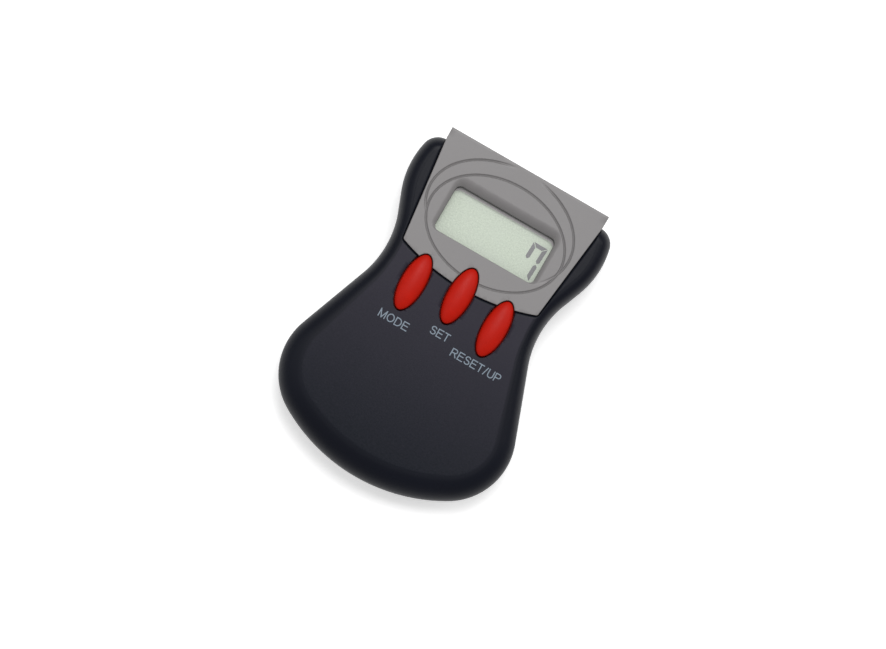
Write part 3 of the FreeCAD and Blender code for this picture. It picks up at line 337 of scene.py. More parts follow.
def gloss_plastic(name, colour, roughness, ripple=0.15, shine=0.5):
    """Shiny moulded plastic: long shallow waves and a little haze."""
    made = Finish(name, colour, roughness)
    made.shader.inputs["Specular IOR Level"].default_value = shine
    waves = made.noise(420.0, 2.0, 0.5)
    haze = made.noise(2600.0, 2.0, 0.6)
    made.shade(made.spread(waves, 0.0, 1.0), 0.05)
    relief = made.bump(haze, 0.12, 0.00003, made.bump(waves, ripple, 0.00015))
    return made.finish(relief, made.spread(haze, roughness - 0.05, roughness + 0.06))


def bezel_plastic():
    """Grey plastic with painted shade darkening its grooves; the UV map says how deep a point is."""
    made = Finish("bezel_plastic", BEZEL_GREY, 0.46)
    depth = made.stored()
    grain = made.noise(6500.0, 3.0, 0.6)
    patches = made.noise(90.0, 3.0, 0.5)
    clean = made.blend(made.spread(patches, 0.0, 1.0), toned(BEZEL_GREY, 0.97), toned(BEZEL_GREY, 1.03))
    # Painted shade: the colour darkens with the groove's depth.
    groove_shaded = made.blend(made.times(depth, GROOVE_PAINTED_SHADE), clean, toned(BEZEL_GREY, 0.35))
    made.feed(made.shader.inputs["Base Color"], groove_shaded)
    return made.finish(made.bump(grain, 0.35, 0.00005), made.spread(patches, 0.42, 0.51))


print("plastics ready")

# %% [markdown]
# ## Metals, rubber, glass and laminate
# Bright metal looks like metal when its roughness is streaked along the way that it was drawn or
# turned, so the noise is stretched along one axis. Rubber is the opposite: dark, rough, with a fine
# bloom. The clear window is thin, so it is simply nearly transparent, with a polished surface.

# %% Metals, rubber, glass and laminate
def drawn_metal(name, colour, roughness, stretch=(1.0, 12.0, 12.0)):
    made = Finish(name, colour, roughness, metallic=1.0)
    streaks = made.noise(900.0, 3.0, 0.6, stretch)
    stains = made.noise(260.0, 2.0, 0.5)
    made.shade(made.spread(stains, 0.0, 1.0), 0.10)
    relief = made.bump(streaks, 0.25, 0.00003)
    return made.finish(relief, made.spread(streaks, roughness - 0.08, roughness + 0.10))


def soft_rubber(name, colour):
    made = Finish(name, colour, 0.75)
    bloom = made.noise(1800.0, 4.0, 0.6)
    made.shade(made.spread(bloom, 0.0, 1.0), 0.22)
    return made.finish(made.bump(bloom, 0.4, 0.00006), made.spread(bloom, 0.66, 0.86))


def clear_window(name):
    made = Finish(name, (0.96, 0.98, 0.97), 0.04, alpha=0.10)
    smears = made.noise(180.0, 2.0, 0.5, (1.0, 2.5, 1.0))
    return made.finish(made.bump(smears, 0.02, 0.00005), made.spread(smears, 0.03, 0.07))


def laminate(name, colour):
    """Circuit board: solder mask over a woven glass cloth."""
    made = Finish(name, colour, 0.35)
    weave = made.node("ShaderNodeTexBrick", Vector=made.place, Scale=900.0)
    patches = made.noise(120.0, 2.0, 0.5)
    made.shade(made.spread(patches, 0.0, 1.0), 0.25)
    return made.finish(made.bump(weave.outputs["Fac"], 0.15, 0.00004), made.spread(patches, 0.28, 0.45))


def liquid_crystal(name):
    """Pale green ground with a fine speckle, as the foil behind the panel gives, and a faint painted glow.
    """
    made = Finish(name, (0.560, 0.640, 0.500), 0.35)
    # The faint emission is painted light: the display glows evenly, which fills the shade that the window's
    # walls cast on it.
    made.shader.inputs["Emission Color"].default_value = (0.62, 0.70, 0.55, 1.0)
    made.shader.inputs["Emission Strength"].default_value = 0.09
    speckle = made.noise(2900.0, 2.0, 0.7)
    clouds = made.noise(140.0, 2.0, 0.5)
    dark, light, cloud = (0.270, 0.330, 0.240, 1.0), (0.510, 0.580, 0.460, 1.0), (0.44, 0.50, 0.42, 1.0)
    base = made.blend(made.spread(speckle, 0.0, 1.0), dark, light)
    tint = made.blend(made.spread(clouds, 0.0, 0.30), base, cloud)
    made.feed(made.shader.inputs["Base Color"], tint)
    return made.finish(made.bump(speckle, 0.08, 0.00003), made.spread(speckle, 0.30, 0.45))


def printed_ink(name, colour):
    made = Finish(name, colour, 0.55)
    wear = made.noise(2400.0, 3.0, 0.6)
    made.shade(made.spread(wear, 0.0, 1.0), 0.12)
    return made.finish(made.bump(wear, 0.1, 0.00002))


finishes = {
    "case_dark": case_face_plastic(),
    "case_rear": moulded_plastic("rear_case_plastic", REAR_CASE, 0.50, 0.26, 0.6, 0.06, 0.24),
    "bezel_grey": bezel_plastic(),
    "lens_clear": clear_window("window_plastic"),
    "gasket_black": soft_rubber("foam_tape", (0.015, 0.015, 0.016)),
    "lcd_green": liquid_crystal("display_ground"),
    "reflector_pale": moulded_plastic("reflector_foil", (0.62, 0.65, 0.58), 0.40, 0.10),
    "zebra_rubber": soft_rubber("zebra_rubber", (0.12, 0.12, 0.13)),
    "board_green": laminate("board_laminate", (0.020, 0.130, 0.050)),
    "epoxy_black": gloss_plastic("poured_epoxy", (0.012, 0.012, 0.013), 0.22, 0.5),
    "chip_parts": moulded_plastic("chip_ceramic", (0.30, 0.24, 0.18), 0.55, 0.12),
    "crystal_can": drawn_metal("crystal_can_metal", (0.62, 0.62, 0.62), 0.28, (12.0, 1.0, 12.0)),
    "button_red": gloss_plastic("button_plastic", BUTTON_RED, 0.44, 0.15, 0.13),
    "keypad_rubber": soft_rubber("silicone_rubber", (0.26, 0.26, 0.27)),
    "cell_steel": drawn_metal("cell_nickel", (0.66, 0.66, 0.67), 0.25, (4.0, 4.0, 12.0)),
    "contact_bronze": drawn_metal("tinned_bronze", (0.60, 0.52, 0.36), 0.32, (12.0, 1.0, 12.0)),
    "pendulum_white": moulded_plastic("carrier_plastic", (0.62, 0.62, 0.58), 0.50, 0.18),
    "steel": drawn_metal("plain_steel", (0.50, 0.50, 0.52), 0.32, (1.0, 12.0, 12.0)),
    "spring_steel": drawn_metal("spring_wire", (0.46, 0.47, 0.49), 0.30, (12.0, 4.0, 4.0)),
    "rivet_brass": drawn_metal("turned_brass", (0.66, 0.48, 0.20), 0.30, (4.0, 4.0, 12.0)),
    "bumper_rubber": soft_rubber("bumper_rubber", (0.020, 0.020, 0.020)),
    "screw_zinc": drawn_metal("zinc_plate", (0.58, 0.59, 0.61), 0.30, (6.0, 6.0, 1.0)),
}
print(len(finishes), "finishes")

# %% [markdown]
# ## Giving the frame's own nodes their finish
# Every part that the camera rarely sees keeps its shape from the frame: board, cell, contacts,
# pendulum. Its material comes from the slot that the record names for it, so one loop does them all.

# %% Finish every node of the frame
slots = {entry["node"]: entry["material_slot"] for entry in frame["record"]["subparts"]}
for node, thing in frame["nodes"].items():
    thing.data.materials.clear()
    thing.data.materials.append(finishes[slots[node]])
print(len(frame["nodes"]), "nodes finished")

# %% [markdown]
# ## Making and keeping a piece
# A finished piece is a plain mesh at the origin, unturned, with its place in its points, exactly like a
# part of the frame. These helpers write the points in metres, merge doubles, turn the faces outwards and
# mark the sharp edges by angle. Then the piece is hung on the empty of the body that it rides on and takes
# the finish of its slot, and the frame's parts that it stands for are hidden. On a piece with large flats
# and small roundings the flats are given the say over the normals, so that their light stays even.

# %% Keep a piece
def cleaned(mesh, merge, slivers=0.0, flats=0.0):
    """Merge doubled points within merge mm; drop slivers and turn faces outwards, or join flats."""
    work = bmesh.new()
    work.from_mesh(mesh)
    bmesh.ops.remove_doubles(work, verts=work.verts, dist=merge * MM)
    if slivers:
        bmesh.ops.dissolve_degenerate(work, edges=work.edges, dist=slivers * MM)
        bmesh.ops.recalc_face_normals(work, faces=work.faces)
    if flats:
        bmesh.ops.dissolve_limit(work, angle_limit=math.radians(flats), verts=work.verts, edges=work.edges)
    open_edges = sum(len(edge.link_faces) != 2 for edge in work.edges)
    work.to_mesh(mesh)
    work.free()
    return open_edges


def settle(thing, body, slot, stands_for=(), smooth=35.0, weld=0.0005, even=False):
    mesh = thing.data
    if weld:
        cleaned(mesh, weld, slivers=weld)
    mesh.polygons.foreach_set("use_smooth", [True] * len(mesh.polygons))
    mesh.set_sharp_from_angle(angle=math.radians(smooth))
    if even:
        step = thing.modifiers.new("even_light", "WEIGHTED_NORMAL")
        step.keep_sharp = True
        step.weight = 100
        baked(thing)
        mesh = thing.data
    mesh.materials.clear()
    mesh.materials.append(finishes[slot])
    if body:
        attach(thing, body)
    if stands_for:
        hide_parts(*stands_for)
    triangles = sum(len(face.vertices) - 2 for face in mesh.polygons)
    print(f"{thing.name}: {len(mesh.vertices)} points, {triangles} triangles")
    return thing


def new_piece(name, points, faces):
    """An object from points in millimetres."""
    mesh = bpy.data.meshes.new(name)
    mesh.from_pydata([Vector(point) * MM for point in points], [], faces)
    mesh.validate()
    thing = bpy.data.objects.new(name, mesh)
    bpy.context.scene.collection.objects.link(thing)
    return thing


def ring_faces(first, second, count):
    """Quads between two rings of count points each, which start at the points first and second."""
    after = [(i + 1) % count for i in range(count)]
    return [(first + i, first + j, second + j, second + i) for i, j in enumerate(after)]


def copy_of(node, name):
    """A copy of a part of the frame, free to be changed."""
    copy = bpy.data.objects.new(name, frame["nodes"][node].data.copy())
    bpy.context.scene.collection.objects.link(copy)
    return copy


def baked(thing):
    """The object with its modifiers turned into plain mesh, and the modifiers gone."""
    view = bpy.context.evaluated_depsgraph_get()
    mesh = bpy.data.meshes.new_from_object(thing.evaluated_get(view))
    thing.modifiers.clear()
    thing.data = mesh
    return thing


def boolean(thing, other, operation):
    """Cut, join or intersect thing with other, and throw other away."""
    step = thing.modifiers.new(operation.lower(), "BOOLEAN")
    step.operation = operation
    step.solver = "EXACT"
    step.object = other
    baked(thing)
    bpy.data.objects.remove(other)
    return thing


print("piece helpers ready")

# %% [markdown]
# ## The outline of the case
# Seen from the front, half of the case is five arcs and two short straights, each tangent to the
# next: a broad bottom, the lobe's corner, a hollow waist, the ear and its tight tip. Walking along it
# by the direction that its outward normal points makes every arc the same few lines of code, and
# moving a point inwards along that normal gives the rings that the rounded rim is made of.

# %% Outline of the case
HALF_LENGTH = 37.5
BOTTOM_RADIUS, LOBE_RADIUS, WAIST_RADIUS, EAR_RADIUS, TIP_RADIUS = 39.5, 14.55, 21.08, 19.53, 3.90
LOBE_X, TIP_TOP = 12.594, 34.84
waist_centre = Vector((40.10, 8.64))
ear_centre = Vector((3.858, 27.474))
bottom_centre = Vector((0.0, BOTTOM_RADIUS - HALF_LENGTH))
reach = BOTTOM_RADIUS - LOBE_RADIUS
lobe_centre = bottom_centre + Vector((LOBE_X, -math.sqrt(reach ** 2 - LOBE_X ** 2)))
rise = TIP_TOP - TIP_RADIUS - ear_centre.y
tip_centre = ear_centre + Vector((math.sqrt((EAR_RADIUS - TIP_RADIUS) ** 2 - rise ** 2), rise))


def heading(degrees):
    return Vector((math.cos(math.radians(degrees)), math.sin(math.radians(degrees))))


def bearing(vector):
    return math.degrees(math.atan2(vector.y, vector.x))


def tangent_normal(round_centre, round_radius, hollow_radius, side):
    """Direction of the normal of the straight between a convex arc and the hollow waist."""
    span = waist_centre - round_centre
    return bearing(span) + side * math.degrees(math.acos((round_radius + hollow_radius) / span.length))


flank = tangent_normal(lobe_centre, LOBE_RADIUS, WAIST_RADIUS, -1)
neck = tangent_normal(ear_centre, EAR_RADIUS, WAIST_RADIUS, 1)
lobe_turn = bearing(lobe_centre - bottom_centre)
tip_turn = bearing(tip_centre - ear_centre)


def sweep(centre, radius, start, end, steps):
    """Points and normals along an arc, without its end; a negative radius makes a hollow arc."""
    turns = [start + (end - start) * i / steps for i in range(steps)]
    return [(centre + heading(turn) * radius, heading(turn)) for turn in turns]


def straight(start, end, normal, steps):
    return [(start.lerp(end, i / steps), heading(normal)) for i in range(steps)]


def case_outline():
    """Closed loop of (point, outward normal), from the bottom middle up the right side and back."""
    side_top = waist_centre - heading(flank) * WAIST_RADIUS
    neck_low = waist_centre - heading(neck) * WAIST_RADIUS
    half = sweep(bottom_centre, BOTTOM_RADIUS, -90.0, lobe_turn, 40)
    half += sweep(lobe_centre, LOBE_RADIUS, lobe_turn, flank, 48)
    half += straight(lobe_centre + heading(flank) * LOBE_RADIUS, side_top, flank, 24)
    half += sweep(waist_centre, -WAIST_RADIUS, flank, neck, 36)
    half += straight(neck_low, ear_centre + heading(neck) * EAR_RADIUS, neck, 8)
    half += sweep(ear_centre, EAR_RADIUS, neck, tip_turn, 24)
    half += sweep(tip_centre, TIP_RADIUS, tip_turn, 90.0, 24)
    half += straight(tip_centre + Vector((0, TIP_RADIUS)), Vector((0, TIP_TOP)), 90.0, 30)
    half.append((Vector((0, TIP_TOP)), heading(90.0)))
    left = [(Vector((-p.x, p.y)), Vector((-n.x, n.y))) for p, n in reversed(half[1:-1])]
    return half + left


outline = case_outline()
print(len(outline), "points round the case, widest", round(2 * max(p.x for p, n in outline), 2), "mm")

# %% [markdown]
# ## The front shell
# The shell is rings. The lowest ring tucks in a little at the parting line, the next ones climb the
# side, a quarter of an oval rolls over to the face, and the last ones close in on the spine, following
# the face as it falls away towards the lower end. The roll is as wide as the smooth band: wide at the
# bottom, narrow at the waist. Where it ends, the grained face stands a few hundredths proud.
#
# Intersecting that solid with the frame's own front cover gives the shell its walls, bosses and
# openings, exactly where the design has them. A flared copy of the bezel's outline cuts the recess
# first, which leaves the soft rounding round its edge.

# %% Heights of the face
FACE_TOP = shell_high.z
SPLIT = shell_low.z
SLOPE_START, SLOPE_RADIUS = 6.0, 300.0
SKIN = 0.015
BAND_BOTTOM, BAND_LOBE, BAND_WAIST = 5.4, 4.1, 2.75
LOBE_LINE, WAIST_LINE = -14.0, 6.0


def smooth_step(value):
    t = max(0.0, min(1.0, value))
    return t * t * (3.0 - 2.0 * t)


def face_height(y):
    """Height of the face: flat at the display end, then a long arc down to the lower end."""
    fall = max(0.0, SLOPE_START - y)
    return FACE_TOP - (SLOPE_RADIUS - math.sqrt(SLOPE_RADIUS ** 2 - fall ** 2))


def band_width(y):
    """Width of the smooth band: wide at the bottom, narrow from the waist up."""
    if y < LOBE_LINE:
        return BAND_LOBE + (BAND_BOTTOM - BAND_LOBE) * (LOBE_LINE - y) / (HALF_LENGTH + LOBE_LINE)
    if y < WAIST_LINE:
        return BAND_LOBE - (BAND_LOBE - BAND_WAIST) * (y - LOBE_LINE) / (WAIST_LINE - LOBE_LINE)
    return BAND_WAIST


print("face height at the ends:", round(face_height(HALF_LENGTH), 2), round(face_height(-HALF_LENGTH), 2))

# %% Rings of the front shell
ROLL_STEPS = 16
ROLL_HEIGHT = 4.2
STEP_UP = 0.035
GRAIN_END = 11.3
SPINE_LOW, SPINE_HIGH, SPINE_SHARE, FACE_RINGS = -20.0, 24.0, 0.85, 14
PARTING_RINGS = ((0.5, -0.3), (0.30, -0.1), (0.16, 0.03), (0.06, 0.14), (SKIN, 0.34))
STEP_RINGS = ((0.02, 0.1, 0.44), (0.045, 0.4, 0.54), (0.07, 0.8, 0.66), (0.10, 1.0, 0.80))


def shell_rings():
    """Each ring is a list of (place in the plane, height, how far inside the band's edge: 0 to 1)."""
    rings = []
    for inset, above in PARTING_RINGS:
        rings.append([(p - n * inset, SPLIT + above, 0.0) for p, n in outline])
    for i in range(ROLL_STEPS + 1):
        turn = math.radians(90.0 * i / ROLL_STEPS)
        inside = 0.36 * smooth_step((i - ROLL_STEPS + 3) / 3)
        ring = []
        for p, n in outline:
            width = band_width(p.y)
            point = p - n * (SKIN + (width - SKIN) * (1 - math.cos(turn)))
            roll = ROLL_HEIGHT * (1 - math.sin(turn))
            ring.append((point, face_height(point.y) - SKIN - STEP_UP - roll, inside))
        rings.append(ring)
    for share, lift, inside in STEP_RINGS:
        step = [p - n * band_width(p.y) * (1 + share) for p, n in outline]
        rings.append([(q, face_height(q.y) - SKIN + STEP_UP * (lift - 1), inside) for q in step])
    edge = rings[-1]
    for i in range(1, FACE_RINGS + 1):
        share = i / FACE_RINGS
        ring = []
        for q, height, inside in edge:
            spine = Vector((0.0, max(SPINE_LOW, min(SPINE_HIGH, q.y * SPINE_SHARE))))
            point = q.lerp(spine, share)
            ring.append((point, face_height(point.y) - SKIN, 1.0))
        rings.append(ring)
    return rings


rings = shell_rings()
count = len(outline)
shell_points = [(q.x, q.y, z) for ring in rings for q, z, inside in ring]
shell_inside = [inside if q.y < GRAIN_END else 0.0 for ring in rings for q, z, inside in ring]
shell_faces = [tuple(reversed(range(count)))]
for r in range(len(rings) - 1):
    shell_faces += ring_faces(r * count, (r + 1) * count, count)
front_shell = new_piece("front_shell", shell_points, shell_faces)
uv = front_shell.data.uv_layers.new(name="band")
for loop in front_shell.data.loops:
    uv.data[loop.index].uv = (shell_inside[loop.vertex_index], 0.5)
cleaned(front_shell.data, 0.002, slivers=0.001)
print(len(rings), "rings of", count, "points")

# %% Outline of the bezel
bezel_low, bezel_high = millimetres("display_bezel")
BEZEL_LOW, BEZEL_ARC = 8.6, 47.6
BEZEL_SIDE, BEZEL_KNEE_X, BEZEL_KNEE_Y = 16.5, 19.25, 34.9
BEZEL_CORNER = 0.64
PLATE_THICK, CLEAR = 1.8, 0.01
arc_centre = Vector((0.0, BEZEL_LOW + BEZEL_ARC))
low_corner = Vector((BEZEL_SIDE, arc_centre.y - math.sqrt(BEZEL_ARC ** 2 - BEZEL_SIDE ** 2)))
knee = Vector((BEZEL_KNEE_X, BEZEL_KNEE_Y))
side_normal = bearing(knee - low_corner) - 90.0


def corner_centre():
    """Centre of the small arc that is tangent to the lower edge and to the side."""
    start = low_corner - heading(side_normal) * BEZEL_CORNER
    way = (knee - low_corner).normalized()
    reach = BEZEL_ARC - BEZEL_CORNER
    span = start - arc_centre
    half = span.dot(way)
    return start + way * (-half - math.sqrt(half ** 2 - span.length_squared + reach ** 2))


def bezel_outline(crest=HALF_LENGTH):
    """Closed loop of (point, outward step); at the sharp top corners the step is the mitre."""
    centre = corner_centre()
    turn = bearing(centre - arc_centre)
    top = Vector((bezel_high.x, crest))
    half = sweep(arc_centre, BEZEL_ARC, -90.0, turn, 40)
    half += sweep(centre, BEZEL_CORNER, turn, side_normal, 10)
    half += straight(centre + heading(side_normal) * BEZEL_CORNER, knee, side_normal, 30)
    half += straight(knee, top, 0.0, 4)
    half.append((top, Vector((1.0, 1.0))))
    half += straight(Vector((top.x - 0.6, crest)), Vector((0.0, crest)), 90.0, 24)
    half.append((Vector((0.0, crest)), heading(90.0)))
    left = [(Vector((-p.x, p.y)), Vector((-n.x, n.y))) for p, n in reversed(half[1:-1])]
    return half + left


print("lower corner of the bezel at", [round(v, 2) for v in low_corner])

# %% Recess for the bezel
def loft(name, loops):
    """Closed solid through loops of equal length, each a list of 3-D points."""
    size = len(loops[0])
    points = [point for loop in loops for point in loop]
    faces = [tuple(reversed(range(size))), tuple(range(len(points) - size, len(points)))]
    for r in range(len(loops) - 1):
        faces += ring_faces(r * size, (r + 1) * size, size)
    return new_piece(name, points, faces)


SEAT_GAP = 0.16
FLARE = 0.50
recess_floor = bezel_high.z - PLATE_THICK - CLEAR
recess_loop = bezel_outline(HALF_LENGTH + 2.0)
profile = [(0.0, recess_floor)]
for i in range(8):
    turn = math.radians(90.0 * i / 7)
    profile.append((FLARE * (1 - math.cos(turn)), FACE_TOP - SKIN - FLARE * (1 - math.sin(turn))))
profile.append((FLARE + 0.5, FACE_TOP + 2.0))
cutter = loft("recess_cutter", [[(*(p + n * (SEAT_GAP + grow)), height) for p, n in recess_loop]
                                for grow, height in profile])
boolean(front_shell, cutter, "DIFFERENCE")
cover_copy = copy_of("front_cover", "front_cover_copy")
cleaned(cover_copy.data, 0.0005)
boolean(front_shell, cover_copy, "INTERSECT")
settle(front_shell, "case", "case_dark", ("front_cover",), smooth=32.0, even=True)

# %% [markdown]
# ## The grey bezel
# The bezel is a plate with two shallow oval grooves and a window whose upper side is a broad soft
# slope. A plate like that could be sculpted, but here its height follows a rule, so it is made as a
# height field: points are laid where the height changes, a Delaunay triangulation joins them, and
# each point then takes its height. Rings of points follow the grooves and the window's slopes, and a
# coarse grid fills the rest.

# %% Height of the bezel
PLATE_TOP = bezel_high.z - CLEAR
PLATE_LOW = bezel_high.z - PLATE_THICK
EDGE = 0.15
GROOVE_DEPTH, GROOVE_HALF = 0.26, 0.31
INNER_OVAL = (Vector((0.0, 22.20)), 15.80, 11.34)
OUTER_OVAL = (Vector((-0.40, 24.75)), 16.90, 12.07)
WINDOW_LOW, WINDOW_HIGH, WINDOW_HALF, WINDOW_RADIUS = 16.69, 27.56, 12.19, 1.3
window_centre = Vector((0.0, (WINDOW_LOW + WINDOW_HIGH) / 2))
window_core = Vector((WINDOW_HALF - WINDOW_RADIUS, (WINDOW_HIGH - WINDOW_LOW) / 2 - WINDOW_RADIUS))


def slope_size(normal):
    """Width and depth of the slope round the window, by the side that it is on."""
    up, down, side = max(0.0, normal.y) ** 2, max(0.0, -normal.y) ** 2, normal.x ** 2
    return 1.85 * up + 0.16 * down + 0.95 * side, 1.15 * up + 0.12 * down + 0.62 * side


def window_distance(point):
    """Distance outside the window's rounded rectangle, and the direction away from it."""
    offset = point - window_centre
    way = Vector((max(0.0, abs(offset.x) - window_core.x), max(0.0, abs(offset.y) - window_core.y)))
    if way.length < 1e-9:
        return -WINDOW_RADIUS, Vector((0.0, 1.0))
    normal = Vector((math.copysign(way.x, offset.x), math.copysign(way.y, offset.y))).normalized()
    return way.length - WINDOW_RADIUS, normal


def groove(point, oval):
    """Depth of a groove along an oval, 0 to 1, with a round floor."""
    centre, across, along = oval
    x, y = point.x - centre.x, point.y - centre.y
    steep = 2.0 * math.hypot(x / across ** 2, y / along ** 2)
    apart = abs((x / across) ** 2 + (y / along) ** 2 - 1.0) / max(steep, 1e-6)
    return max(0.0, 1.0 - (apart / GROOVE_HALF) ** 2) ** 1.5


def outer_share(point):
    """The outer groove fades where it meets the inner one, and at the crest of the bezel."""
    return smooth_step((point.y - 17.0) / 5.0) * smooth_step((abs(point.x) - 2.5) / 5.0)


def both_grooves(point):
    return max(groove(point, INNER_OVAL), groove(point, OUTER_OVAL) * outer_share(point))


def bezel_height(point):
    depth = GROOVE_DEPTH * both_grooves(point)
    gap, normal = window_distance(point)
    width, drop = slope_size(normal)
    depth += drop * max(0.0, 1.0 - max(0.0, gap) / width) ** 1.6
    return PLATE_TOP - depth


print("bezel from", PLATE_LOW, "to", round(PLATE_TOP, 2))

# %% Points of the bezel
def window_loop(share):
    """Loop round the window, share of the way across its slope."""
    loop = []
    for corner, (sx, sy) in enumerate(((1, -1), (1, 1), (-1, 1), (-1, -1))):
        centre = window_centre + Vector((sx * window_core.x, sy * window_core.y))
        for i in range(13):
            normal = heading(-90.0 + 90.0 * corner + 90.0 * i / 12)
            loop.append(centre + normal * (WINDOW_RADIUS + share * slope_size(normal)[0]))
        after = window_centre + Vector(((sx, -sx)[corner % 2] * window_core.x,
                                        (-sy, sy)[corner % 2] * window_core.y))
        normal = heading(90.0 * corner)
        steps = (10, 22)[corner % 2]
        reach = WINDOW_RADIUS + share * slope_size(normal)[0]
        loop += [centre.lerp(after, i / steps) + normal * reach for i in range(1, steps)]
    return loop


def oval_loop(oval, offset, count=200):
    centre, across, along = oval
    turns = [2 * math.pi * i / count for i in range(count)]
    across, along = across + offset, along + offset
    return [centre + Vector((across * math.cos(t), along * math.sin(t))) for t in turns]


def closed_edges(first, count):
    return [(first + i, first + (i + 1) % count) for i in range(count)]


def inside_bezel(point, margin):
    if point.y > bezel_high.y - margin:
        return False
    if (point - arc_centre).length > BEZEL_ARC - margin:
        return False
    mirrored = Vector((abs(point.x), point.y))
    return (mirrored - low_corner).dot(heading(side_normal)) < -margin


def middle_of(face, spots):
    return sum((spots[i] for i in face), Vector((0, 0))) / len(face)


rim = [p - n * EDGE for p, n in bezel_outline()]
points, edges = list(rim), closed_edges(0, len(rim))
for share in (0.0, 0.10, 0.22, 0.38, 0.56, 0.78, 1.0, 1.15):
    loop = window_loop(share)
    edges += closed_edges(len(points), len(loop))
    points += loop
for oval, needs_share in ((INNER_OVAL, False), (OUTER_OVAL, True)):
    for offset in (-0.45, -0.31, -0.22, -0.15, -0.08, 0.0, 0.08, 0.15, 0.22, 0.31, 0.45):
        loop = oval_loop(oval, offset)
        kept = [inside_bezel(p, EDGE + 0.03) and not (needs_share and outer_share(p) < 0.002) for p in loop]
        first = len(points)
        spots = {i: first + n for n, i in enumerate(i for i in range(len(loop)) if kept[i])}
        points += [loop[i] for i in spots]
        edges += [(spots[i], spots[(i + 1) % len(loop)]) for i in spots if (i + 1) % len(loop) in spots]
for ix in range(-12, 13):
    for iy in range(0, 20):
        p = Vector((ix * 1.6, 8.4 + iy * 1.5))
        gap, normal = window_distance(p)
        if inside_bezel(p, 0.5) and gap > slope_size(normal)[0] * 1.15 + 0.4:
            points.append(p)
flat, joined, triangles = delaunay_2d_cdt(points, edges, [], 0, 1e-5)[:3]
triangles = [face for face in triangles if window_distance(middle_of(face, flat))[0] > 0.0]
print(len(flat), "points and", len(triangles), "triangles on the bezel's face")

# %% Bezel
bezel_points = [(p.x, p.y, bezel_height(p)) for p in flat]
bezel_faces = [tuple(face) for face in triangles]
outer = bezel_outline()
edge_profile = [(EDGE, PLATE_TOP)]
for turn in map(math.radians, (30, 60, 90)):
    edge_profile.append((EDGE * (1 - math.sin(turn)), PLATE_TOP - EDGE * (1 - math.cos(turn))))
edge_profile.append((CLEAR, PLATE_LOW))
starts = []
for inset, height in edge_profile:
    starts.append(len(bezel_points))
    bezel_points += [(*(p - n * max(inset, CLEAR)), height) for p, n in outer]
for first, second in zip(starts, starts[1:]):
    bezel_faces += ring_faces(first, second, len(outer))
opening = window_loop(0.0)
top_start = len(bezel_points)
bezel_points += [(p.x, p.y, bezel_height(p)) for p in opening]
low_start = len(bezel_points)
bezel_points += [(p.x, p.y, PLATE_LOW) for p in opening]
bezel_faces += ring_faces(top_start, low_start, len(opening))
under = [p - n * CLEAR for p, n in outer]
base, base_edges, base_faces = delaunay_2d_cdt(under + opening, closed_edges(0, len(under)) +
                                               closed_edges(len(under), len(opening)), [], 0, 1e-5)[:3]
shift = len(bezel_points)
bezel_points += [(p.x, p.y, PLATE_LOW) for p in base]
bezel_faces += [tuple(shift + i for i in face) for face in base_faces
                if window_distance(middle_of(face, base))[0] > 0.0]
bezel_panel = new_piece("bezel_panel", bezel_points, bezel_faces)
# The groove depth stored here sets the painted shade in the grooves.
cavity = bezel_panel.data.uv_layers.new(name="cavity")
for loop in bezel_panel.data.loops:
    x, y, z = bezel_panel.data.vertices[loop.vertex_index].co / MM
    depth = both_grooves(Vector((x, y))) if z > PLATE_LOW + 0.3 else 0.0
    cavity.data[loop.index].uv = (depth, 0.5)
print("open edges on the bezel:", cleaned(bezel_panel.data, 0.002, slivers=0.001))

# %% Bezel end wall and button notches
def rounded_box(x0, y0, x1, y1, radius, steps=8):
    loop = []
    for corner, (cx, cy) in enumerate(((x1 - radius, y0 + radius), (x1 - radius, y1 - radius),
                                       (x0 + radius, y1 - radius), (x0 + radius, y0 + radius))):
        loop += [Vector((cx, cy)) + heading(-90.0 + 90.0 * corner + 90.0 * i / steps) * radius
                 for i in range(steps + 1)]
    return loop


WALL_SET_BACK, WALL_ROUND, WALL_INNER = 0.05, 0.40, 35.2
wall_x = bezel_high.x - WALL_SET_BACK
wall_y = bezel_high.y - WALL_SET_BACK
wall_loops = []
for turn in (0, 15, 30, 45, 60, 75, 90):
    inset = WALL_ROUND * (1 - math.sin(math.radians(turn)))
    height = bezel_low.z + CLEAR + WALL_ROUND * (1 - math.cos(math.radians(turn)))
    loop = rounded_box(inset - wall_x, WALL_INNER, wall_x - inset, wall_y - inset, 0.3)
    wall_loops.append([(p.x, p.y, height) for p in loop])
wall_loops.append([(x, y, PLATE_LOW + 0.4) for x, y, z in wall_loops[-1]])
boolean(bezel_panel, loft("end_wall", wall_loops), "UNION")
BUTTON_HALF_WIDTH, BUTTON_HALF_LENGTH, BUTTON_GAP = 2.63, 6.58, 0.25
BUTTONS = {"mode_button": (-10.02, 4.54, "mode_key"), "set_button": (0.0, 6.84, "set_key"),
           "reset_button": (10.02, 4.54, "reset_key")}
notch_profile = [(0.0, PLATE_LOW - 0.5), (0.0, PLATE_TOP - EDGE)]
for turn in map(math.radians, (30, 60, 90)):
    notch_profile.append((EDGE * (1 - math.cos(turn)), PLATE_TOP - EDGE * (1 - math.sin(turn))))
notch_profile.append((EDGE + 0.5, PLATE_TOP + 1.0))
for name, (x, y, body) in BUTTONS.items():
    oval = (Vector((x, y)), BUTTON_HALF_WIDTH + BUTTON_GAP, BUTTON_HALF_LENGTH + BUTTON_GAP)
    notch = loft("notch", [[(*p, height) for p in oval_loop(oval, grow, 96)]
                           for grow, height in notch_profile])
    boolean(bezel_panel, notch, "DIFFERENCE")
settle(bezel_panel, "case", "bezel_grey", ("display_bezel",), smooth=32.0, even=True)

# %% [markdown]
# ## Behind the window
# The window is a thin clear plate. Just inside the opening lies a narrow black sheet of painted shade for
# the opening's shadowed walls, widest along the top, and a grey strip of the display's own frame shows
# under it. The display lies below, speckled, with one dark digit made of slanted segments.

# %% Painted wall shadow and display frame
lens_low, lens_high = millimetres("display_lens")
glass_high = millimetres("lcd_glass")[1]


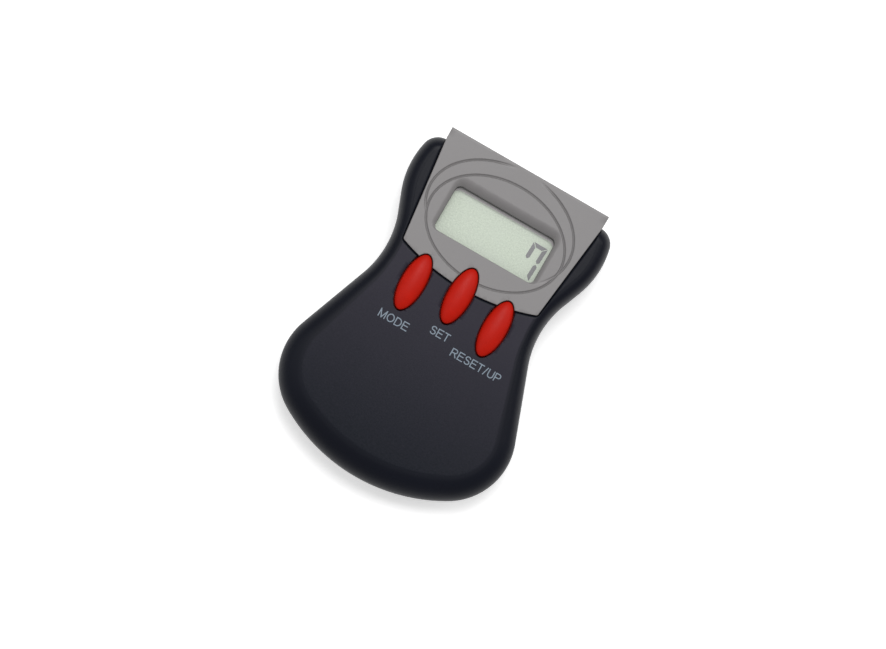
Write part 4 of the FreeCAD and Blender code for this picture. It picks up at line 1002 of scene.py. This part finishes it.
def frame_plate(name, hole, low, high, outline_box):
    """Flat frame between a rectangle and a rounded hole."""
    x0, y0, x1, y1 = outline_box
    edge = [Vector((x0, y0)), Vector((x1, y0)), Vector((x1, y1)), Vector((x0, y1))]
    made, made_edges, made_faces = delaunay_2d_cdt(
        edge + hole, closed_edges(0, 4) + closed_edges(4, len(hole)), [], 0, 1e-5)[:3]
    kept = [tuple(face) for face in made_faces if not in_loop(middle_of(face, made), hole)]
    size = len(made)
    all_points = [(p.x, p.y, high) for p in made] + [(p.x, p.y, low) for p in made]
    all_faces = kept + [tuple(size + i for i in reversed(face)) for face in kept]
    for first, count in ((0, 4), (4, len(hole))):
        all_faces += ring_faces(first, size + first, count)
    return new_piece(name, all_points, all_faces)


def in_loop(point, loop):
    """Even-odd test."""
    inside = False
    for a, b in zip(loop, loop[1:] + loop[:1]):
        if (a.y > point.y) != (b.y > point.y):
            if point.x < a.x + (point.y - a.y) * (b.x - a.x) / (b.y - a.y):
                inside = not inside
    return inside


def settle_ink(thing, slot, ink, weld=0.0005):
    """Keep a thin inked piece, print or painted shade, which has a slot of the record but an ink of its
    own.
    """
    settle(thing, "case", slot, smooth=30.0, weld=weld)
    thing.data.materials[0] = finishes[ink]


# The black sheet under the window's edge is painted shade: it stands in for the shadowed walls of the
# opening, and is widest along the top, where the top wall's shadow falls.
finishes["painted_wall_shadow"] = printed_ink("painted_wall_shadow", (0.010, 0.006, 0.005))
finishes["frame_ink"] = printed_ink("frame_ink", (0.27, 0.235, 0.245))
SHADOW_LEFT, SHADOW_RIGHT, SHADOW_TOP, SHADOW_CORNER = 0.07, 0.10, 0.34, 1.2
STRIP_TOP, STRIP_CORNER = 0.80, 1.6
wall_shadow_hole = rounded_box(-WINDOW_HALF + SHADOW_LEFT, WINDOW_LOW - 0.3, WINDOW_HALF - SHADOW_RIGHT,
                          WINDOW_HIGH - SHADOW_TOP, SHADOW_CORNER)
wall_shadow_sheet = frame_plate("window_wall_shadow", wall_shadow_hole, lens_high.z - 0.04, lens_high.z - 0.005,
                     (-13.2, 16.0, 13.2, 28.6))
settle_ink(wall_shadow_sheet, "lens_clear", "painted_wall_shadow")
strip_hole = rounded_box(-WINDOW_HALF - 0.1, WINDOW_LOW - 0.3, WINDOW_HALF + 0.1,
                         WINDOW_HIGH - STRIP_TOP, STRIP_CORNER)
strip = frame_plate("display_frame", strip_hole, lens_low.z - 0.10, lens_low.z - 0.03,
                    (-12.95, 16.15, 12.95, 28.05))
settle_ink(strip, "lcd_green", "frame_ink")

# %% Digit
DIGIT_X, DIGIT_LOW, DIGIT_WIDTH, DIGIT_HEIGHT, SLANT = 8.20, 17.54, 2.52, 7.13, 0.043
GAP, HALF_BAR = 0.11, 0.46
MIDDLE = DIGIT_HEIGHT / 2


def upright(x, towards):
    """Upper bar on the left (towards 1) or right (towards -1): mitred above, pointed at the middle."""
    out, inner = x - HALF_BAR * towards, x + HALF_BAR * towards
    low = MIDDLE + HALF_BAR + GAP
    return [(out, DIGIT_HEIGHT + HALF_BAR - GAP), (inner, DIGIT_HEIGHT - HALF_BAR - GAP), (inner, low),
            (x, MIDDLE + GAP), (out, low)]


top_bar = [(GAP - HALF_BAR, DIGIT_HEIGHT + HALF_BAR), (HALF_BAR + GAP, DIGIT_HEIGHT - HALF_BAR),
           (DIGIT_WIDTH - HALF_BAR - GAP, DIGIT_HEIGHT - HALF_BAR),
           (DIGIT_WIDTH + HALF_BAR - GAP, DIGIT_HEIGHT + HALF_BAR)]
upper_right = upright(DIGIT_WIDTH, -1)
lower_right = [(x, DIGIT_HEIGHT - y) for x, y in upper_right]
digit_bars = [[Vector((DIGIT_X + x + y * SLANT, DIGIT_LOW + y)) for x, y in bar]
              for bar in (upright(0.0, 1), top_bar, upper_right, lower_right)]
digit_points, digit_faces = [], []
for bar in digit_bars:
    first, size = len(digit_points), len(bar)
    digit_points += [(p.x, p.y, glass_high.z + 0.005) for p in bar]
    digit_points += [(p.x, p.y, glass_high.z + 0.04) for p in bar]
    digit_faces += [tuple(range(first + size, first + 2 * size)),
                    tuple(reversed(range(first, first + size)))]
    digit_faces += ring_faces(first, first + size, size)
finishes["segment_ink"] = printed_ink("segment_ink", (0.060, 0.052, 0.068))
digit = new_piece("display_digit", digit_points, digit_faces)
settle_ink(digit, "lcd_green", "segment_ink")

# %% [markdown]
# ## Push buttons by Geometry Nodes
# The three keys are one shape: an oval pebble on a flange. A node tree holds the rule, with its
# sizes as named inputs, so each key is the same tree with another centre. A disc of rings becomes
# the dome: moving each ring outwards by a sine and up by the matching cosine spaces them evenly.

# %% A short way to write geometry trees
class Rule(Nodes):
    """A geometry tree with named inputs, ending in Realize Instances and Set Material."""

    def __init__(self, name, **inputs):
        self.tree = bpy.data.node_groups.new(name, "GeometryNodeTree")
        self.tree.interface.new_socket("Geometry", in_out="INPUT", socket_type="NodeSocketGeometry")
        kinds = {float: "NodeSocketFloat", int: "NodeSocketInt", tuple: "NodeSocketVector"}
        for title, value in inputs.items():
            made = self.tree.interface.new_socket(title, in_out="INPUT", socket_type=kinds[type(value)])
            made.default_value = value
        self.tree.interface.new_socket("Finish", in_out="INPUT", socket_type="NodeSocketMaterial")
        self.tree.interface.new_socket("Geometry", in_out="OUTPUT", socket_type="NodeSocketGeometry")
        self.given = self.tree.nodes.new("NodeGroupInput").outputs

    def coordinates(self):
        """x, y and z of each point of the shape that is being moved."""
        position = self.node("GeometryNodeInputPosition").outputs[0]
        return self.node("ShaderNodeSeparateXYZ", Vector=position).outputs

    def point(self, x=0.0, y=0.0, z=0.0):
        return self.node("ShaderNodeCombineXYZ", X=x, Y=y, Z=z).outputs[0]

    def moved(self, shape, x, y, z):
        """The shape with each point set to a new place."""
        return self.node("GeometryNodeSetPosition", Geometry=shape, Position=self.point(x, y, z)).outputs[0]

    def shifted(self, shape, spot):
        return self.node("GeometryNodeTransform", Geometry=shape, Translation=spot).outputs[0]

    def solid(self, operation, others, first=None):
        """Union of the others, or first with the others cut out of it."""
        made = self.node("GeometryNodeMeshBoolean", {"operation": operation, "solver": "EXACT"})
        if first is not None:
            self.tree.links.new(first, made.inputs[0])
        for other in others:
            self.tree.links.new(other, made.inputs[1])
        return made.outputs["Mesh"]

    def joined(self, *shapes):
        made = self.node("GeometryNodeJoinGeometry")
        for shape in shapes:
            self.tree.links.new(shape, made.inputs[0])
        return made.outputs[0]

    def close(self, shape):
        metres = self.node("GeometryNodeTransform", Geometry=shape, Scale=(MM, MM, MM)).outputs[0]
        real = self.node("GeometryNodeRealizeInstances", Geometry=metres).outputs[0]
        coloured = self.node("GeometryNodeSetMaterial", Geometry=real, Material=self.given["Finish"])
        self.feed(self.tree.nodes.new("NodeGroupOutput").inputs[0], coloured.outputs[0])
        return self

    def make(self, name, finish, **values):
        """A plain mesh object from this tree with the given inputs."""
        thing = new_piece(name, [(0, 0, 0)], [])
        step = thing.modifiers.new("rule", "NODES")
        step.node_group = self.tree
        for item in self.tree.interface.items_tree:
            if item.item_type == "SOCKET" and item.in_out == "INPUT":
                if item.name in values:
                    step[item.identifier] = values[item.name]
                if item.name == "Finish":
                    step[item.identifier] = finish
        return baked(thing)


print("geometry tree maker ready")

# %% Oval button tree
def oval_button_rule():
    rule = Rule("oval_button", half_width=BUTTON_HALF_WIDTH, half_length=BUTTON_HALF_LENGTH, low=10.6,
                shoulder=14.7, dome=1.49, centre_x=0.0, centre_y=0.0, flange_width=7.4,
                flange_length=14.1, flange_high=11.7)
    given = rule.given
    disc = rule.node("GeometryNodeMeshCylinder", {"fill_type": "TRIANGLE_FAN"}, Vertices=96,
                     Side_Segments=1, Fill_Segments=20, Radius=1.0, Depth=1.0).outputs["Mesh"]
    x, y, z = rule.coordinates()
    radius = rule.maths("SQRT", rule.plus(rule.times(x, x), rule.times(y, y)))
    turn = rule.times(rule.maths("MINIMUM", radius, 1.0), math.pi / 2)
    spread = rule.over(rule.maths("SINE", turn), rule.maths("MAXIMUM", radius, 0.0001))
    lift = rule.times(rule.maths("COSINE", turn), given["dome"])
    top = rule.plus(given["shoulder"], lift)
    is_top = rule.maths("GREATER_THAN", z, 0.0)
    height = rule.plus(rule.times(is_top, top),
                        rule.times(rule.minus(1.0, is_top), given["low"]))
    wide = rule.plus(rule.times(rule.times(x, spread), given["half_width"]),
                      given["centre_x"])
    long = rule.plus(rule.times(rule.times(y, spread), given["half_length"]),
                      given["centre_y"])
    pebble = rule.moved(disc, wide, long, height)
    thick = rule.minus(given["flange_high"], given["low"])
    size = rule.point(given["flange_width"], given["flange_length"], thick)
    plate = rule.node("GeometryNodeMeshCube", Size=size).outputs["Mesh"]
    level = rule.plus(given["low"], rule.times(thick, 0.5))
    flange = rule.shifted(plate, rule.point(given["centre_x"], given["centre_y"], level))
    return rule.close(rule.solid("UNION", (pebble, flange)))


button_rule = oval_button_rule()
for name, (x, y, body) in BUTTONS.items():
    cap = button_rule.make("cap_" + name, finishes["button_red"], centre_x=x, centre_y=y)
    settle(cap, body, "button_red", (name,), smooth=38.0, weld=0.002)

# %% [markdown]
# ## Printed words
# The function words under the keys are thin ink in a plain sans serif. A text object would be quick,
# but its own face is rounder than this print, so a pen draws the letters: each is a few strokes of
# even width along paths in a box one cap height tall. A Delaunay triangulation of all the strokes of
# a word keeps what lies inside any of them, which joins them in the plane. The flat word is then
# given a thickness and laid on the face, point by point.

# %% Letters as pen strokes
def bow(centre_x, centre_y, across, up, start, end, steps=14):
    """Part of an oval, between two angles."""
    turns = [math.radians(start + (end - start) * i / steps) for i in range(steps + 1)]
    return [(centre_x + across * math.cos(turn), centre_y + up * math.sin(turn)) for turn in turns]


STEM = [(0, 0), (0, 1)]
LETTERS = {
    "M": (0.90, [STEM, [(0, 1), (0.45, 0)], [(0.45, 0), (0.90, 1)], [(0.90, 1), (0.90, 0)]]),
    "O": (0.92, [bow(0.46, 0.5, 0.46, 0.5, 0, 180), bow(0.46, 0.5, 0.46, 0.5, 180, 360)]),
    "D": (0.80, [STEM, [(0, 1), (0.30, 1)] + bow(0.32, 0.5, 0.48, 0.5, 90, -90) + [(0, 0)]]),
    "E": (0.74, [STEM, [(0, 1), (0.72, 1)], [(0, 0.54), (0.66, 0.54)], [(0, 0), (0.74, 0)]]),
    "S": (0.72, [bow(0.36, 0.76, 0.33, 0.24, 25, 270) + bow(0.37, 0.26, 0.35, 0.26, 90, -155)]),
    "T": (0.76, [[(0, 1), (0.76, 1)], [(0.38, 1), (0.38, 0)]]),
    "R": (0.82, [STEM, [(0, 1), (0.42, 1)] + bow(0.47, 0.74, 0.29, 0.26, 90, -90) + [(0, 0.48)],
                 [(0.44, 0.48), (0.80, 0)]]),
    "/": (0.34, [[(0, 0), (0.34, 1)]]),
    "U": (0.78, [[(0, 1)] + bow(0.39, 0.36, 0.39, 0.36, 180, 360) + [(0.78, 1)]]),
    "P": (0.74, [STEM, [(0, 1), (0.42, 1)] + bow(0.46, 0.73, 0.28, 0.27, 90, -90) + [(0, 0.46)]]),
}


def ribbon(path, width):
    """Outline of a stroke of even width along a path, with square ends."""
    spots = [path[0]]
    spots += [spot for spot, before in zip(path[1:], path) if (spot - before).length > 0.01]
    spots[0] = spots[0] + (spots[0] - spots[1]).normalized() * width / 2
    spots[-1] = spots[-1] + (spots[-1] - spots[-2]).normalized() * width / 2
    left, right = [], []
    for i, spot in enumerate(spots):
        after = (spots[min(i + 1, len(spots) - 1)] - spots[min(i, len(spots) - 2)]).normalized()
        before = (spots[max(i, 1)] - spots[max(i - 1, 0)]).normalized()
        mitre = (before + after).normalized()
        side = Vector((-mitre.y, mitre.x)) * width / 2 / mitre.dot(after)
        left.append(spot + side)
        right.append(spot - side)
    return right + left[::-1]


print(len(LETTERS), "letters drawn")

# %% Words on the face
INK = (0.180, 0.225, 0.275)
INK_THICK = 0.03
CAP_HEIGHT, PEN, LETTER_GAP = 1.88, 0.235, 0.30
WORDS = (("MODE", -9.6, -4.47, 7.05), ("SET", 0.46, -2.17, 4.50), ("RESET/UP", 10.4, -4.2, 12.0))
finishes["legend_ink"] = printed_ink("legend_ink", INK)


def printed_word(text, centre_x, centre_y, width):
    natural = sum(LETTERS[letter][0] for letter in text) + LETTER_GAP * (len(text) - 1)
    across, up = (width - PEN) / natural, CAP_HEIGHT - PEN
    corner = Vector((centre_x - (width - PEN) / 2, centre_y - up / 2))
    points, strokes = [], []
    for letter in text:
        for path in LETTERS[letter][1]:
            loop = ribbon([corner + Vector((x * across, y * up)) for x, y in path], PEN)
            strokes.append(list(range(len(points), len(points) + len(loop))))
            points += loop
        corner.x += (LETTERS[letter][0] + LETTER_GAP) * across
    flat, edges, faces, *sources = delaunay_2d_cdt(points, [], strokes, 0, 1e-5)
    inked = [face for face, source in zip(faces, sources[-1]) if source]
    place = {spot: i for i, spot in enumerate(sorted({spot for face in inked for spot in face}))}
    inked = [[place[spot] for spot in face] for face in inked]
    borders = {(face[i], face[(i + 1) % len(face)]) for face in inked for i in range(len(face))}
    size = len(place)
    solid = [(flat[spot].x, flat[spot].y, face_height(flat[spot].y) - SKIN + lift)
             for lift in (INK_THICK, -INK_THICK) for spot in place]
    sides = [(b, a, a + size, b + size) for a, b in borders if (b, a) not in borders]
    under = [[spot + size for spot in reversed(face)] for face in inked]
    word = new_piece("word_" + text.lower().replace("/", "_"), solid, inked + under + sides)
    settle_ink(word, "case_dark", "legend_ink", weld=0.0)


for text, x, y, width in WORDS:
    printed_word(text, x, y, width)

# %% [markdown]
# ## The back of the counter
# The frame's mesh of a moulded part is loose triangles with knife edges. A copy of it is merged, its
# flat areas are joined, and a small bevel goes round every corner that is sharper than 30 degrees,
# as a mould would leave it. The frame's own mesh stays untouched. The clip's thumb end then gets its
# grip: a few shallow grooves, cut with bars that a node tree repeats at an even pitch.

# %% Softened copies of moulded parts
def softened(node, name, width, cutter=None):
    """Merged copy of a frame node with its corners rounded by width millimetres."""
    copy = copy_of(node, name)
    cleaned(copy.data, 0.0008, flats=1.0)
    if cutter:
        boolean(copy, cutter, "DIFFERENCE")
    bevel = copy.modifiers.new("corners", "BEVEL")
    bevel.width = width * MM
    bevel.segments = 2
    bevel.limit_method = "ANGLE"
    bevel.angle_limit = math.radians(30.0)
    bevel.use_clamp_overlap = True
    return baked(copy)


def grip_rule():
    """Round bars, side by side along Y, each lying across X."""
    rule = Rule("grip_bars", count=5, pitch=0.75, first_y=31.0, length=18.0, radius=0.42, level=0.0)
    given = rule.given
    start = rule.point(0.0, given["first_y"], given["level"])
    spots = rule.node("GeometryNodeMeshLine", Count=given["count"], Start_Location=start,
                      Offset=rule.point(y=given["pitch"])).outputs[0]
    bar = rule.node("GeometryNodeMeshCylinder", Vertices=12, Radius=given["radius"], Depth=given["length"])
    lying = rule.node("GeometryNodeTransform", Geometry=bar.outputs["Mesh"],
                      Rotation=(0.0, math.pi / 2, 0.0))
    return rule.close(rule.node("GeometryNodeInstanceOnPoints", Points=spots,
                                Instance=lying.outputs[0]).outputs[0])


grip_bars = grip_rule().make("grip_bars", finishes["case_rear"], level=-0.18, first_y=31.1)
clip_piece = softened("belt_clip", "clip_plate", 0.30, cutter=grip_bars)
settle(clip_piece, "clip", "case_rear", ("belt_clip",), smooth=40.0, weld=0.002, even=True)
rear_piece = softened("rear_cover", "rear_shell", 0.12)
settle(rear_piece, "case", "case_rear", ("rear_cover",), smooth=40.0, weld=0.002, even=True)
door_piece = softened("battery_door", "cell_door", 0.18)
settle(door_piece, "door", "case_rear", ("battery_door",), smooth=40.0, weld=0.002, even=True)

# %% [markdown]
# ## Case screws by Geometry Nodes
# Four self-tapping screws hold the shells together. Each is a pan head with a cross recess, seen from
# behind down its bore, on a threaded shank. One tree makes them: the head is a short cylinder whose
# points are drawn in and up towards its face, and the thread is a saw-tooth of the radius that climbs
# once a turn. The same screw is then set, long and short, at the two seats and mirrored to the left.

# %% Screw tree
def screw_rule():
    rule = Rule("pan_head_screws", head_radius=1.5, head_thick=1.1, crown=0.32, edge_draft=0.12,
                shank_radius=0.59, thread_depth=0.20, pitch=0.60, reach=0.9, slot_width=0.32,
                slot_depth=0.55, low_x=22.8, low_y=-20.0, low_seat=2.8, high_x=17.6, high_y=19.0,
                high_seat=5.4, tip=9.4)
    given = rule.given

    def head():
        blank = rule.node("GeometryNodeMeshCylinder", {"fill_type": "TRIANGLE_FAN"}, Vertices=32,
                          Side_Segments=8, Fill_Segments=6, Radius=given["head_radius"],
                          Depth=given["head_thick"])
        x, y, z = rule.coordinates()
        share = rule.minus(0.5, rule.over(z, given["head_thick"]))
        out = rule.plus(rule.maths("POWER", rule.over(x, given["head_radius"]), 2.0),
                        rule.maths("POWER", rule.over(y, given["head_radius"]), 2.0))
        lift = rule.times(rule.times(rule.maths("POWER", share, 2.0), out), given["crown"])
        draw = rule.minus(1.0, rule.times(rule.maths("POWER", share, 4.0), given["edge_draft"]))
        level = rule.minus(lift, rule.times(share, given["head_thick"]))
        pan = rule.moved(blank.outputs["Mesh"], rule.times(x, draw), rule.times(y, draw), level)
        length = rule.times(given["reach"], 2.0)
        depth = rule.times(given["slot_depth"], 2.0)
        face = rule.times(given["head_thick"], -1.0)
        bars = [rule.node("GeometryNodeMeshCube", Size=rule.point(*size, depth)).outputs["Mesh"]
                for size in ((length, given["slot_width"]), (given["slot_width"], length))]
        sunk = rule.shifted(rule.solid("UNION", bars), rule.point(z=face))
        return rule.solid("DIFFERENCE", (sunk,), pan)

    def shank(length):
        rod = rule.node("GeometryNodeMeshCylinder", {"fill_type": "TRIANGLE_FAN"}, Vertices=20,
                        Side_Segments=80, Radius=given["shank_radius"], Depth=length)
        x, y, z = rule.coordinates()
        turn = rule.over(rule.maths("ARCTAN2", y, x), 2 * math.pi)
        phase = rule.maths("FRACT", rule.plus(rule.over(z, given["pitch"]), turn))
        flank = rule.maths("ABSOLUTE", rule.minus(rule.times(phase, 2.0), 1.0))
        draw = rule.minus(1.0, rule.times(flank, given["thread_depth"]))
        up = rule.plus(z, rule.times(length, 0.5))
        return rule.moved(rod.outputs["Mesh"], rule.times(x, draw), rule.times(y, draw), up)

    screws = []
    shape = head()
    for end in ("low", "high"):
        length = rule.minus(given["tip"], given[end + "_seat"])
        screw = rule.joined(shape, shank(length))
        for side in (1.0, -1.0):
            across = rule.times(given[end + "_x"], side)
            spot = rule.point(across, given[end + "_y"], given[end + "_seat"])
            screws.append(rule.shifted(screw, spot))
    return rule.close(rule.joined(*screws))


screws = screw_rule().make("pan_head_screws", finishes["screw_zinc"])
settle(screws, "case", "screw_zinc", ("case_screws",), smooth=38.0, weld=0.0)

# %% [markdown]
# ## Springs and rubber that give
# Three kinds of inner part change shape in use: the clip's torsion spring winds up, the pendulum's spring
# stretches between its post and the arm, and the keypad's rubber domes sink under their keys. Here each
# spring is a merged copy of the frame's part, hung on no body, with its place baked into its points, and
# each dome is its own piece on the mat, riding on the case.

# %% Springs
def giving_spring(node, name):
    """Merged copy of a spring, hung on no body, with its place baked into its points."""
    copy = copy_of(node, name)
    settle(copy, None, "spring_steel", (node,), smooth=50.0)
    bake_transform(copy)
    return copy


giving_spring("clip_spring", "clip_torsion_spring")
giving_spring("pendulum_spring", "pendulum_coil_spring")

# %% Keypad
mat_low, mat_high = millimetres("keypad")
MAT_THICK, MAT_CORNER, MAT_EDGE = 0.8, 0.8, 0.15
MAT_TOP = mat_low.z + MAT_THICK
mat_loops = []
for inset, height in ((MAT_EDGE, mat_low.z), (0.0, mat_low.z + MAT_EDGE), (0.0, MAT_TOP - MAT_EDGE),
                      (MAT_EDGE, MAT_TOP)):
    loop = rounded_box(mat_low.x + inset, mat_low.y + inset, mat_high.x - inset, mat_high.y - inset,
                       MAT_CORNER)
    mat_loops.append([(p.x, p.y, height) for p in loop])
settle(loft("keypad_mat", mat_loops), "case", "keypad_rubber", ("keypad",))
DOME_ACROSS, DOME_ALONG = 2.15, 5.70
dome_profile = ((0.45, MAT_TOP - 0.02), (0.25, MAT_TOP + 0.12), (0.08, MAT_TOP + 0.45),
                (0.0, MAT_TOP + 1.0), (-0.10, mat_high.z - 0.12), (-0.30, mat_high.z))
for name, (x, y, body) in BUTTONS.items():
    key = name.removesuffix("_button")
    low, high = millimetres(name)
    oval = (Vector((x, (low.y + high.y) / 2)), DOME_ACROSS, DOME_ALONG)
    dome = loft("dome_" + key, [[(*p, height) for p in oval_loop(oval, grow, 48)]
                                for grow, height in dome_profile])
    settle(dome, "case", "keypad_rubber", ("keypad",))
    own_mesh(dome)
